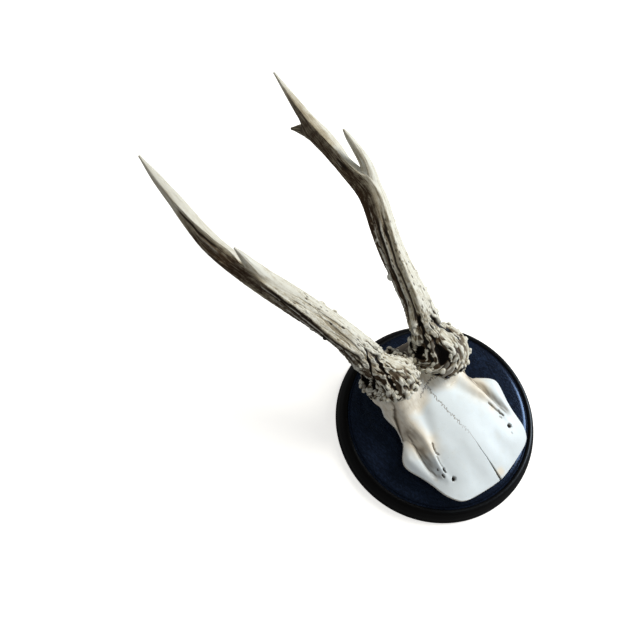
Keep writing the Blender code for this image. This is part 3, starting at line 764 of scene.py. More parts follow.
def drawn_lines(lines, along, base, wobble, fade_in, fade_out):
    """Ridges and grooves along drawn lines: height * exp(-(distance / half width)^2), with the
    fourth power for the steeper grooves, faded out at both ends of each line. Gives the height and
    how strongly each point lies in a groove. Along gives each row's place on the lines."""
    height = np.zeros(base["radius"].shape)
    groove = np.zeros(base["radius"].shape)
    for line, half_width, rise in lines:
        line = np.array(sorted(line), dtype=float)
        angles = np.unwrap(np.radians(line[:, 1]))
        middle = np.interp(along, line[:, 0], angles)[:, None]
        ends = smooth(along, line[0, 0] - 2.0, line[0, 0] + fade_in)
        ends = (ends * smooth(along, line[-1, 0] + 2.0, line[-1, 0] - fade_out))[:, None]
        away = base["radius"] * wrap(base["turn"] - middle) + wobble
        shape = np.exp(-(away / half_width) ** (4 if rise < 0.0 else 2)) * ends
        height = height + rise * shape
        if rise < 0.0:
            groove = np.maximum(groove, shape)
    return height, groove


def relief_noise(kind, turn, along, seed):
    """One of the relief's noises round the antler."""
    girth, stretch, number = RELIEF_NOISES[kind]
    return noise(round_places(turn, along, girth, stretch), seed + number)


def relief_pebbles(kind, turn, along, seed, reach):
    """One of the relief's pebbled patterns round the antler."""
    girth, stretch, number = RELIEF_NOISES[kind]
    return pebbles(round_places(turn, along, girth, stretch), seed + number, reach)


def crests(turn, over, foot, upper, seed, lobe_height):
    """Crests and knobs, and how deep each point lies between them.

    Crests stand where a noise lies above a limit, and gaps where it lies below. The noise is
    stretched along the antler, so that knobs at the burr's rim turn into flutes above it and into
    long ridges on the stem, where the limit is lower and the gaps are narrow. Small knobs,
    |noise| ^ 0.6, stand on them all.
    """
    step = 0.1
    reach = np.arange(0.0, over.max() + 1.0, step)
    lengths = CREST_LENGTH
    for gain, start, end in CREST_GAINS:
        lengths = lengths + gain * smooth(reach, start, end)
    stretched = np.interp(over, reach, np.cumsum(step / lengths))
    share, fineness = FINE_CRESTS
    field = relief_noise("crests", turn, stretched, seed)
    field = field + share * relief_noise("fine crests", turn, fineness * stretched, seed)
    low, high = (at_foot * foot + on_stem * (1.0 - foot)
                 for at_foot, on_stem in zip(CREST_LIMITS["foot"], CREST_LIMITS["stem"]))
    crest = smooth(field, low, high)
    knobby = np.abs(relief_noise("knobs", turn, over, seed))
    height = (lobe_height * foot + STEM_CREST * upper) * (crest - CREST_MEAN)
    height = height + (KNOB_HEIGHTS[0] * foot + KNOB_HEIGHTS[1] * upper) * (knobby ** 0.6 - 0.35)
    creases = 1.0 - crest * (0.35 + 0.65 * smooth(knobby, 0.0, 0.2))
    return height, creases * np.maximum(foot, 0.6 * upper)


def antler_relief(side, base, lobe_height):
    """Height of the relief over the bare form, with how strongly each point lies in a furrow and in
    a gap between crests. Crests and, at the burr's rim, pebbles come first. Drawn ridges and
    flutes, pearls, knobs, smooth dishes, sunk hollows and pits are then laid over them."""
    antler = ANTLERS[side]
    seed = antler["seed"]
    over, along, turn, radius = (base[label] for label in ("over", "along", "turn", "radius"))
    warped_over = over + 0.9 * relief_noise("shaken over", turn, over, seed)
    warped_turn = turn + relief_noise("shaken round", turn, over, seed) / radius
    plain = smooth(base["fork"], *FORK)
    foot = smooth(over, *FOOT) ** 1.5
    upper = (1.0 - foot) * (0.1 + 0.9 * smooth(over, *STEM_RELIEF)) * plain
    height, creases = crests(warped_turn, warped_over, foot, upper, seed, lobe_height)

    rim = smooth(over, *RIM)
    pearl, value = relief_pebbles("rim", warped_turn, warped_over, seed, 0.78)
    height = height * (1.0 - 0.6 * rim) + RIM_HEIGHT * rim * (pearl * (0.4 + 0.6 * value) - 0.35)
    creases = np.maximum(creases, 0.9 * rim * (1.0 - pearl))
    pit, value = relief_pebbles("pits", turn, along, seed, 0.6)
    pits = np.where(value < PIT_SHARE, pit, 0.0) * smooth(over, *PITTED) * upper

    wobble = 0.5 * relief_noise("wobble", turn, along, seed)
    ragged = wobble + 1.3 * relief_noise("ragged", turn, over, seed) * foot
    drawn, groove = drawn_lines(antler["lines"], along[:, 0], base, wobble, 6.0, 10.0)
    flutes, gaps = drawn_lines(antler["flutes"], over[:, 0], base, ragged, 2.0, 2.0)
    height = (height + drawn * plain) * (1.0 - 0.3 * gaps) + flutes

    def marked(marks, power):
        return domes(warped_over, warped_turn, radius, marks, power)

    pearls = marked(scattered_pearls(np.random.default_rng(seed)), 0.5)
    height = np.maximum(height, height * 0.5 + pearls * smooth(over, 150.0, 100.0))
    raised = marked(placed([mark for mark in antler["knobs"] if mark[4] > 0.0]), 0.5)
    height = np.maximum(height, 0.4 * height + raised)
    dish = marked(placed([(*mark[:4], 1.0) for mark in antler["dishes"]]), 0.8)
    height = height * (1.0 - 0.85 * dish) - marked(placed(antler["dishes"]), 0.8)
    holes = [mark for mark in antler["knobs"] if mark[4] < 0.0] + antler.get("holes", [])
    sunk = marked(placed(holes), 0.7)
    height = height * (1.0 - 0.75 * smooth(sunk, 0.2, 1.5)) - sunk - 0.5 * pits
    height = height + 0.07 * (1.0 - foot) * relief_noise("faint", turn, along, seed)
    calm = smooth(over, over.max(), over.max() - 45.0)
    # The sunk holes are darkened like furrows, which paints the shade inside them.
    grooves = np.maximum.reduce([0.65 * groove * plain, gaps, smooth(sunk, 0.5, 1.6), 0.45 * pits])
    return height * (0.25 + 0.75 * calm), grooves * (1.0 - 0.6 * dish), creases * (1.0 - dish)


def shade_values(height, reach):
    """How far each point lies below and above the mean of its surroundings, from 0 to 1."""
    mean = blurred(blurred(height, *reach), *reach)
    return smooth(mean - height, 0.1, 1.1), smooth(height - mean, -0.2, 0.7)


def antler_values(shape, grain, **given):
    """The point values that the antler's material reads: its grain in millimetres, those that are
    given, and zero for the rest."""
    values = {label: given.get(label, 0.0) + np.zeros(shape) for label in ANTLER_VALUES}
    values["grain"] = grain * MM
    return values


def make_antler_part(side, part, settings, material):
    """Make a burr or a stem: the bare form pushed out along its normals by the relief."""
    base = antler_base(side, part)
    height, grooves, creases = antler_relief(side, base, settings.lobe_height / MM)
    over, along, turn = base["over"], base["along"], base["turn"]
    normals = outward(base["points"], True)
    lift = height - SEAM_SINK * smooth(along, *SEAM[part])
    hollow, rise = shade_values(height, HOLLOW_REACH[part])
    stains_and_shade = placed([(*stain, 1.0) for stain in ANTLERS[side]["stains_and_shade"]])
    values = antler_values(
        height.shape, round_places(turn, along, 8.0, 1.0),
        hollow=np.maximum(hollow, grooves), rise=rise, crease=creases,
        burr=smooth(over, 44.0, 18.0),
        tip=smooth(over, over.max() - 70.0, over.max() - 12.0) * (part == "stem"),
        # brown patches that also paint the shade of the side they lie on
        stained=domes(along, turn, base["radius"], stains_and_shade, 0.6),
        # painted shade: darker where the surface faces -X, away from the key light
        flank=smooth(-normals[..., 0], -0.15, 0.6))
    make_tube(f"{side}_{part}", base["points"] + lift[..., None] * normals,
              0.5 if part == "stem" else 0.0, values, material, [f"{side}_antler"])


def bead_shape():
    """Corners and faces of a unit ball with few faces: rings between two ends."""
    polar = np.linspace(0.0, np.pi, BEAD_RINGS + 2)[1:-1, None]
    turn = np.arange(BEAD_COLUMNS)[None, :] * ROUND / BEAD_COLUMNS
    shape = np.stack([np.sin(polar) * np.cos(turn), np.sin(polar) * np.sin(turn),
                      np.cos(polar) + 0.0 * turn], axis=-1).reshape(-1, 3)
    shape = np.vstack([shape, [0.0, 0.0, 1.0], [0.0, 0.0, -1.0]])
    first = np.arange(BEAD_COLUMNS)
    caps = np.vstack([fan(first, len(shape) - 2),
                      fan((first + (BEAD_RINGS - 1) * BEAD_COLUMNS)[::-1], len(shape) - 1)])
    return shape, grid_quads(BEAD_RINGS, BEAD_COLUMNS, True)[:, ::-1], caps


def make_beads(side, settings, material):
    """Make the free pearls round a burr: egg shapes set into its surface, each a small grid of
    rings, with a half length, a half width and a height of its own. None sits in a gap or on a
    step of the relief."""
    rng = np.random.default_rng(ANTLERS[side]["seed"] + 400)
    base = antler_base(side, "burr")
    normals = outward(base["points"], True)
    height = antler_relief(side, base, settings.lobe_height / MM)[0]
    surface = base["points"] + height[..., None] * normals
    over = base["over"][:, 0]
    places, angles, sizes = [], [], []
    for place, amount, least, most in BEAD_ROWS:
        angles.append((np.arange(amount) + rng.uniform(-0.45, 0.45, amount)) * ROUND / amount)
        places.append(place + rng.uniform(-1.0, 1.0, amount))
        sizes.append(rng.uniform(least, most, amount))
    places, angles, sizes = (np.concatenate(part) for part in (places, angles, sizes))
    sizes = sizes * settings.pearl_size
    rows = np.searchsorted(over, places)
    columns = np.round(angles / ROUND * COLUMNS["burr"]).astype(int) % COLUMNS["burr"]
    steps = np.abs(height - blurred(height, 6, 6))
    kept = (height[rows, columns] > BEAD_LEAST_HEIGHT) & (steps[rows, columns] < BEAD_GREATEST_STEP)
    rows, columns, sizes = rows[kept], columns[kept], sizes[kept]
    up = unit(normals[rows, columns] + 0.25 * rng.normal(size=(len(rows), 3)))
    length = unit(base["points"][rows + 2, columns] - base["points"][rows - 2, columns])
    length = unit(length - np.sum(length * up, axis=-1, keepdims=True) * up)
    width = np.cross(up, length)
    stretch = rng.uniform(0.85, 1.35, len(rows)) * (1.0 + 0.4 * smooth(over[rows], 11.0, 18.0))
    tall = rng.uniform(0.8, 1.3, len(rows))
    centres = surface[rows, columns] - (BEAD_SINK * sizes)[:, None] * up
    axes = np.stack([length * (sizes * stretch)[:, None], width * sizes[:, None],
                     up * (tall * sizes)[:, None]], axis=1)
    shape, quads, caps = bead_shape()
    eggs = np.einsum("ki,bij->bkj", shape, axes)
    shaken = 1.0 + 0.5 * noise(centres[:, None] / 2.0 + shape[None] * 1.05, 91)
    points = (centres[:, None] + shaken[..., None] * eggs).reshape(-1, 3)
    firsts = (np.arange(len(rows)) * len(shape))[:, None, None]
    faces = [(quads[None] + firsts).reshape(-1, 4), (caps[None] + firsts).reshape(-1, 3)]
    above = np.tile(shape[:, 2], len(rows))
    values = antler_values(
        above.shape, points, hollow=0.9 * smooth(above, 0.4, -0.2), rise=smooth(above, 0.4, 1.0),
        # painted shade: a pearl is up to half as dark where it faces -X, away from the key light
        burr=1.0, flank=0.5 * smooth(-unit(eggs.reshape(-1, 3))[:, 0], -0.3, 0.8))
    make_piece(f"{side}_pearls", points, faces, values, material, [f"{side}_antler"])


def make_tine(name, material):
    """Make a tine: a tapering tube with faint streaks, begun inside its stem, whose surface swells
    up to meet it."""
    axis = TINES[name][-1]
    length = knots_along(np.asarray(axis)[:, :3])[-1]
    along = np.linspace(0.0, length, int(length / TINE_ROW_STEP))
    centres, directions, radii = path_along(axis, along)
    radii = blurred(radii[:, None].repeat(3, axis=1), 6, 0)[:, :1]
    turn, spokes = spokes_round(directions, TINE_COLUMNS)
    turn, along = turn + 0.0 * radii, along[:, None] + 0.0 * turn
    streaks = noise(round_places(turn, along, 6.0, 8.0), 71)
    bare = smooth(along, length, length - 8.0)
    radius = radii + (0.07 * streaks + 0.12 * np.cos(3.0 * turn + 1.0)) * bare
    points = centres[:, None, :] + radius[..., None] * spokes
    pale, stained = TINE_TONES["front" if "front" in name else "rear"]
    values = antler_values(
        radius.shape, round_places(turn, along, 6.0, 1.0),
        # the rear tine is brown all over, which also paints the shade it lies in
        tip=pale * smooth(along, 0.5 * length, 0.9 * length), stained=stained,
        # painted shade: darker where the tine faces -X, away from the key light
        flank=smooth(-outward(points, True)[..., 0], -0.15, 0.6))
    make_tube(name + "_ivory", points, 0.4, values, material, [name])


# ---------------------------------------------------------------- skull cap

def outline_at(rows):
    """Outline and midline of the skull cap at shares of the way from the nose end to the back."""
    side = np.asarray(SKULL_SIDE)
    middle = np.asarray(SKULL_MIDDLE)
    side_knots = knots_along(side[:, :2])
    side_at = natural_spline(side_knots, side, rows * side_knots[-1])
    middle_y = middle[0, 0] + rows * (middle[-1, 0] - middle[0, 0])
    return side_at, middle_y, natural_spline(middle[:, 0], middle[:, 1], middle_y)


def skull_plain(share, side_z, middle_z):
    """The dome: a share of the way out to a power, between the midline's and the edge's height."""
    fall = share ** DOME_POWER
    return middle_z * (1.0 - fall) + side_z * fall


def skull_relief(x, y):
    """Broad ridges and valleys: height * exp(-(distance / half width)^2) along each line."""
    height = np.zeros(np.shape(x))
    for points in SKULL_RELIEF:
        shape = np.zeros(np.shape(x))
        for start, end in zip(points[:-1], points[1:]):
            away, share = nearest_on_piece(np.abs(x), y, start[:2], end[:2])
            half_width = start[2] + share * (end[2] - start[2])
            rise = start[3] + share * (end[3] - start[3])
            piece = rise * np.exp(-(away / half_width) ** 2)
            shape = np.where(np.abs(piece) > np.abs(shape), piece, shape)
        height += shape
    return height


def skull_height(x, y):
    """Height of the skull cap over any place in plan, falling steeply outside its outline."""
    nose, back = SKULL_MIDDLE[0][0], SKULL_MIDDLE[-1][0]
    rows = (y - nose) / (back - nose)
    for _ in range(8):
        side_at, middle_y, middle_z = outline_at(np.clip(rows, 0.0, 1.0))
        share = np.abs(x) / side_at[..., 0]
        bend = (side_at[..., 1] - middle_y) * np.clip(share, 0.0, 1.2) ** ROW_BEND
        rows = rows + 0.7 * ((y - bend - nose) / (back - nose) - rows)
    inside = np.clip(share, 0.0, 1.0)
    plain = skull_plain(inside, side_at[..., 2], middle_z)
    drop = SKULL_STEEPNESS * side_at[..., 0] * np.clip(share - 1.0, 0.0, 1.0)
    return plain + skull_relief(x, y) - drop


def pedicle_frame(side):
    """Top of a pedicle and the way it rises, as the burr's underside gives them."""
    centres, directions, _ = path_along(antler_path(side), np.array([0.0]))
    return centres[0], directions[0]


def from_pedicle_axis(points, side):
    """Distance from a pedicle's axis, and how far each point lies below the pedicle's top."""
    top, rise = pedicle_frame(side)
    below = (top - points) @ rise
    return np.linalg.norm(points - top + below[..., None] * rise, axis=-1), below


def pedicle_distance(points, side):
    """Distance to a pedicle, negative inside: distance from its axis minus its radius there."""
    away, below = from_pedicle_axis(points, side)
    radius = np.interp(below / PEDICLE_LENGTH, *np.transpose(PEDICLE_PROFILE))
    return np.maximum(away - radius, np.maximum(-below, below - PEDICLE_LENGTH))


def zigzag(line, swing, length):
    """A seam laid along a line of points: it swings to either side by a sum of two sines and slides
    back and forth along the line by a third, which turns its bends into small loops."""
    line = np.asarray(line, dtype=float)
    knots = knots_along(line)
    way = np.linspace(0.0, knots[-1], int(knots[-1] / 0.3) + 2)
    waves = ROUND * way / length
    aside = 0.6 * np.sin(waves + 1.4 * np.sin(0.37 * waves)) + 0.5 * np.sin(2.3 * waves + 2.0)
    ends = smooth(way, 0.0, 1.0) * smooth(way, knots[-1], knots[-1] - 1.0)
    places = np.clip(way + 0.22 * length * np.sin(1.9 * waves + 0.5) * ends, 0.0, knots[-1])
    middle = np.stack([np.interp(places, knots, line[:, k]) for k in (0, 1)], axis=-1)
    ahead = np.stack([np.gradient(np.interp(way, knots, line[:, k])) for k in (0, 1)], axis=-1)
    sideways = unit(np.stack([-ahead[:, 1], ahead[:, 0]], axis=-1))
    return [tuple(point) for point in middle + (swing * aside * ends)[:, None] * sideways]


def skull_lines(x, y, suture_depth, crack_depth):
    """Depth and darkness of the slots, sutures and the crack at each place in plan. The darkness inside
    the deep holes and the open crack is painted shade.
    """
    depth = np.zeros(x.shape)
    dark = np.zeros(x.shape)
    places = np.stack([x, y, 0.0 * x], axis=-1) / 1.3
    ragged_x, ragged_y = x + 0.3 * noise(places, 61), y + 0.3 * noise(places, 62)
    for line, half_width, deep, darkness in SKULL_SLOTS:
        inside = smooth(nearest_on_line(ragged_x, ragged_y, line), 1.2 * half_width, 0.5 * half_width)
        depth = np.maximum(depth, deep * inside)
        dark = np.maximum(dark, darkness * inside)
    near = (np.abs(x) < 16.0) & (y > -24.0) & (y < 24.0)
    for line, swing, length, darkness in SUTURES:
        away = nearest_on_line(x[near], y[near], zigzag(line, swing, length))
        inside = smooth(away, 1.4 * SUTURE_HALF_WIDTH, 0.4 * SUTURE_HALF_WIDTH)
        depth[near] = np.maximum(depth[near], suture_depth * inside)
        dark[near] = np.maximum(dark[near], darkness * inside)
    half_width = np.interp(y, *np.transpose(CRACK_WIDTHS))
    inside = smooth(nearest_on_line(x, y, NOSE_CRACK), 1.15 * half_width, 0.6 * half_width)
    depth = np.maximum(depth, crack_depth * inside * smooth(y, -24.0, -46.0))
    # painted shade inside the open crack, darker towards the nose
    dark = np.maximum(dark, inside * (0.45 + 0.55 * smooth(y, -33.0, -44.0)))
    return depth, dark


def wall_groove(x, y):
    """Depth of the groove beside each ridge, and darkness of the shadow painted along it: depth *
    exp(-(distance / half width)^2).
    """
    half_width, depth, darkness = WALL_GROOVE_SHAPE
    shape = np.exp(-(nearest_on_line(np.abs(x), y, WALL_GROOVE) / half_width) ** 2)
    return depth * shape, darkness * shape ** 2


def bone_warmth(x, y, side_share):
    """Where the bone is cream and not white: along the temporal ridges, out to the edges and up
    towards the antlers."""
    warm = np.exp(-(nearest_on_line(np.abs(x), y, TEMPORAL_RIDGE) / 7.5) ** 2)
    warm = np.maximum(warm, 0.95 * smooth(y, 12.0, 26.0))
    for middle_x, middle_y, radius, strength in SKULL_STAINS:
        away = np.hypot(x - middle_x, y - middle_y) / radius
        warm = warm + strength * np.exp(-away ** 2)
    return np.maximum(warm, 0.6 * smooth(side_share, 0.8, 1.0) * smooth(y, -16.0, 4.0))


def pedicle_nearness(points):
    """One on the pedicles and fading to zero over the bone round them."""
    away = [from_pedicle_axis(points, side)[0] for side in ANTLERS]
    return smooth(np.minimum.reduce(away), 26.0, 17.0)


def skull_grid():
    """The domed top as a grid: places from the midline, the share of the way out, and the height,
    lifted where the dome swells up to the pedicles."""
    rows = np.linspace(0.0, 1.0, SKULL_ROWS)
    side_at, middle_y, middle_z = outline_at(rows)
    across = np.linspace(-1.0, 1.0, SKULL_COLUMNS)
    across = np.sign(across) * np.abs(across) ** COLUMN_CROWDING
    share = np.abs(across) + np.zeros((SKULL_ROWS, 1))
    x = across[None, :] * side_at[:, :1]
    y = middle_y[:, None] + (side_at[:, 1] - middle_y)[:, None] * share ** ROW_BEND
    z = skull_plain(share, side_at[:, 2:3], middle_z[:, None]) + skull_relief(x, y)
    z = z + 0.14 * rough(np.stack([x, y, np.zeros(x.shape)], axis=-1) / 9.0, 5, 2)
    lifted = z.copy()
    for _ in range(WALK_STEPS - 2):
        for side in ANTLERS:
            points = np.stack([x + MIDLINE_X, y, lifted], axis=-1)
            joined = rounded_least((lifted - z) * JOIN_SLOPE, pedicle_distance(points, side),
                                   PEDICLE_ROUNDING) + JOIN_GAP
            lifted = np.minimum(lifted + np.maximum(-joined, 0.0), z + PEDICLE_REACH)
    return x, y, share, lifted


def skull_darkness(x, y, lines, groove):
    """How dark the bone is at each place: in lines, in the painted shadow of the grooves, in painted
    shade behind and between the antlers, and in painted shade along the valleys over the eye sockets."""
    # painted shade behind and between the antlers
    behind = smooth(y, 27.0, 35.0) * smooth(np.abs(x + 1.0), 13.0, 9.0)
    behind = np.maximum(behind, smooth(y, 41.0, 46.0))
    # painted shade along the valleys over the eye sockets, broken up by a fibre noise
    away = nearest_on_line(np.abs(x), y, ORBIT_VALLEY) / 2.6
    fibres = noise(np.stack([x * 1.1, y / 5.0, 0.0 * x], axis=-1), 8)
    valley = 0.62 * np.exp(-away ** 2) * (0.7 + 0.6 * fibres)
    return np.maximum.reduce([lines, groove, 0.85 * behind, valley])


def skull_edge(ring):
    """Rings from the dome's edge down: a thin lip rounded over half a turn, then a wall drawn in to
    the foot on the plaque."""
    rings = []
    for turn in np.radians([25.0, 55.0, 90.0, 125.0, 155.0]):
        lip = ring.copy()
        lip[:, :2] *= 1.0 + 0.006 * np.sin(turn)
        lip[:, 2] -= 0.5 * BONE_EDGE * (1.0 - np.cos(turn))
        rings.append(lip)
    under = ring[:, 2] - BONE_EDGE
    for way in np.linspace(0.0, 1.0, 16):
        wall = ring.copy()
        wall[:, :2] *= 1.0 - (1.0 - SKULL_FOOT) * np.sin(way * np.pi / 2.0) ** 0.8
        wall[:, 2] = under + (SKULL_UNDERSIDE - under) * way ** 1.6
        rings.append(wall)
    return rings


def make_skull_dome(settings, material):
    """Make the skull cap without its stalks: a domed grid, a thin free edge and a foot."""
    x, y, share, lifted = skull_grid()
    depth, dark = skull_lines(x, y, settings.suture_depth / MM, settings.crack_depth / MM)
    groove, groove_shadow = wall_groove(x, y)
    top = np.stack([x, y, lifted - depth - groove], axis=-1).reshape(-1, 3)
    grid = np.arange(SKULL_ROWS * SKULL_COLUMNS).reshape(SKULL_ROWS, SKULL_COLUMNS)
    edge = np.concatenate([grid[0], grid[1:, -1], grid[-1, -2::-1], grid[-2:0:-1, 0]])
    rings = skull_edge(top[edge])
    points = np.vstack([top] + rings + [rings[-1].mean(axis=0)])
    points[:, 0] += MIDLINE_X
    count = len(edge)
    loops = np.vstack([edge, np.arange(len(rings) * count).reshape(len(rings), count) + grid.size])
    following = np.roll(loops, -1, axis=1)
    sides = np.stack([loops[:-1], loops[1:], following[1:], following[:-1]], axis=-1)
    bottom = fan(loops[-1][::-1], len(points) - 1)
    faces = [grid_quads(SKULL_ROWS, SKULL_COLUMNS, False), sides.reshape(-1, 4), bottom]
    warm = np.maximum(bone_warmth(x, y, share),
                      pedicle_nearness(np.stack([x + MIDLINE_X, y, lifted], axis=-1)))
    dark = skull_darkness(x, y, dark, groove_shadow)
    under = np.append(np.repeat(np.linspace(0.0, 1.0, len(rings)), count), 1.0)
    values = {
        "warm": np.append(warm, np.full(len(under), BONE_EDGE_WARMTH)),
        "dark": np.append(dark, np.zeros(len(under))),
        "under": np.append(np.zeros(x.size), under),
    }
    make_piece("skull_dome", points, faces, values, material, ["skull_cap"])


def make_pedicle(side, material):
    """Make a pedicle: rings from below its burr down, widened where they meet the skull cap, and
    sunk into it at their lower end."""
    top, rise = pedicle_frame(side)
    shares = np.linspace(0.0, 1.0, PEDICLE_ROWS)[:, None]
    centres = top - PEDICLE_LENGTH * shares * rise - 0.1 * rise
    turn, spokes = spokes_round(np.repeat(-rise[None, :], PEDICLE_ROWS, axis=0), PEDICLE_COLUMNS)
    whole = np.zeros((PEDICLE_ROWS, PEDICLE_COLUMNS))
    own = natural_spline(*np.transpose(PEDICLE_PROFILE), shares) + whole

    def joined(points, _):
        skull = points[..., 2] - skull_height(points[..., 0] - MIDLINE_X, points[..., 1])
        return rounded_least(skull * JOIN_SLOPE, pedicle_distance(points, side), PEDICLE_ROUNDING)

    grown = walk_out(centres, spokes, own, joined, PEDICLE_REACH) - own
    grown = grown * smooth(shares, 0.85, 0.6)
    points = centres[:, None, :] + (own + grown)[..., None] * spokes
    normals = outward(points, True)
    lengthwise = PEDICLE_LENGTH * shares + whole
    flutes = rough(round_places(turn + whole, lengthwise, 2.6, 14.0), 40 + len(side), 3)
    groove, groove_shadow = wall_groove(points[..., 0] - MIDLINE_X, points[..., 1])
    steep = 0.3 + 0.7 * np.clip(normals[..., 2], 0.0, 1.0)
    height = 0.28 * flutes * smooth(grown, 2.5, 0.5)
    height = height - (groove * steep + 0.4) * smooth(shares, 0.02, 0.2)
    height = height - PEDICLE_SINK * smooth(shares, 0.42, 0.75)
    points = points + height[..., None] * normals
    values = {
        "warm": np.maximum(bone_warmth(points[..., 0] - MIDLINE_X, points[..., 1], whole),
                           pedicle_nearness(points)),
        # painted shade just under the burr, and the painted shadow along the groove beside the ridge
        "dark": np.maximum(0.6 * smooth(shares, 0.10, 0.0), groove_shadow),
        "under": whole,
    }
    make_tube(f"{side}_pedicle", points, 0.0, values, material, ["skull_cap"])


# ---------------------------------------------------------------- plaque

def plaque_outline(panel_height):
    """Radius and height of the turned outline, closely spaced along a smooth curve, and how many of
    its points belong to the panel."""
    width, depth = PANEL_SHOULDER
    start, fall = PANEL_CROWN
    edge = PANEL_RADIUS - width
    radii = np.linspace(PLAQUE_CENTRE, edge, 60)
    crown = fall * np.clip((radii - start) / (edge - start), 0.0, 1.0) ** 2
    panel = np.stack([radii, panel_height - crown], axis=-1)
    turns = np.radians(np.linspace(0.0, 90.0, 9))
    shoulder = np.stack([edge + width * np.sin(turns),
                         panel_height - fall - depth * (1.0 - np.cos(turns))], axis=-1)
    moulding = np.array(MOULDING)
    knots = knots_along(moulding)
    rounded = natural_spline(knots, moulding, np.linspace(0.0, knots[-1], 48))
    rounded[:, 1] = np.maximum(rounded[:, 1], 0.0)
    back = np.stack([np.linspace(MOULDING[-1][0] - 0.5, PLAQUE_CENTRE, 12), np.zeros(12)], axis=-1)
    inner = np.vstack([panel[:-1], shoulder, np.array(GROOVE)])
    return np.vstack([inner, rounded, back]), len(inner)


def make_plaque(settings):
    """Make the plaque: the outline carried round the Z axis, with a blue-black stain on the panel
    inside the groove and a brown-black one on the moulding outside it."""
    outline, inner = plaque_outline(settings.panel_height / MM)
    turn = -np.arange(PLAQUE_COLUMNS) * ROUND / PLAQUE_COLUMNS
    points = np.stack([
        outline[:, :1] * np.cos(turn), outline[:, :1] * np.sin(turn),
        outline[:, 1:] + 0.0 * turn[None, :],
    ], axis=-1)
    rows, columns = points.shape[:2]
    corners = np.vstack([points.reshape(-1, 3), [0.0, 0.0, outline[0, 1]], [0.0, 0.0, 0.0]])
    first = np.arange(columns)
    faces = [grid_quads(rows, columns, True), fan(first[::-1], rows * columns),
             fan(first + (rows - 1) * columns, rows * columns + 1)]
    panel = wood_material("blue_black_varnished_beech", settings.panel, settings.speck, *PANEL_GLOSS)
    moulding = wood_material("brown_black_varnished_beech", settings.moulding,
                             settings.moulding_light, *MOULDING_GLOSS)
    piece = make_piece("turned_plaque", corners, faces, {}, panel, ["plaque"])
    piece.data.materials.append(moulding)
    ring = np.concatenate([np.repeat(np.arange(rows - 1), columns), np.zeros(columns, dtype=int),
                           np.full(columns, rows)])
    piece.data.polygons.foreach_set("material_index", (ring >= inner - 1).astype(np.int32))


# ---------------------------------------------------------------- materials

def linear(code):
    """Linear colour of an sRGB hex code."""
    parts = [int(code[k:k + 2], 16) / 255.0 for k in (1, 3, 5)]
    return tuple(p / 12.92 if p <= 0.04045 else ((p + 0.055) / 1.055) ** 2.4 for p in parts)


def add_node(tree, kind, inputs, output=0, **settings):
    """Add a node with its settings. Each input takes a value or a link from a socket; the wanted
    output socket comes back."""
    node = tree.nodes.new(kind)
    for label, value in settings.items():
        setattr(node, label, value)
    for label, value in inputs.items():
        if isinstance(value, bpy.types.NodeSocket):
            tree.links.new(value, node.inputs[label])
        else:
            node.inputs[label].default_value = value
    return node.outputs[output]


def layered(tree, colour, layers):
    """Lay colours over one another. Each layer has a value, the range of it over which the layer
    comes in, how far it covers and its colour."""
    for value, low, high, cover, tint in layers:
        share = add_node(tree, "ShaderNodeMapRange",
                         {"Value": value, "From Min": low, "From Max": high, "To Max": cover})
        colour = add_node(tree, "ShaderNodeMix", {0: share, 6: colour, 7: (*tint, 1.0)}, 2,
                          data_type="RGBA")
    return colour


def weighted_sum(tree, start, terms):
    """A number plus each term's value times its weight."""
    total = start
    for value, weight in terms:
        total = add_node(tree, "ShaderNodeMath", {0: value, 1: weight, 2: total},
                         operation="MULTIPLY_ADD")
    return total


def new_material(name, roughness, ior):
    """An empty material with its Principled shader."""
    material = bpy.data.materials.new(name)
    material.use_nodes = True
    tree = material.node_tree
    shader = tree.nodes["Principled BSDF"]
    shader.inputs["Roughness"].default_value = roughness
    shader.inputs["IOR"].default_value = ior
    return material, tree, shader


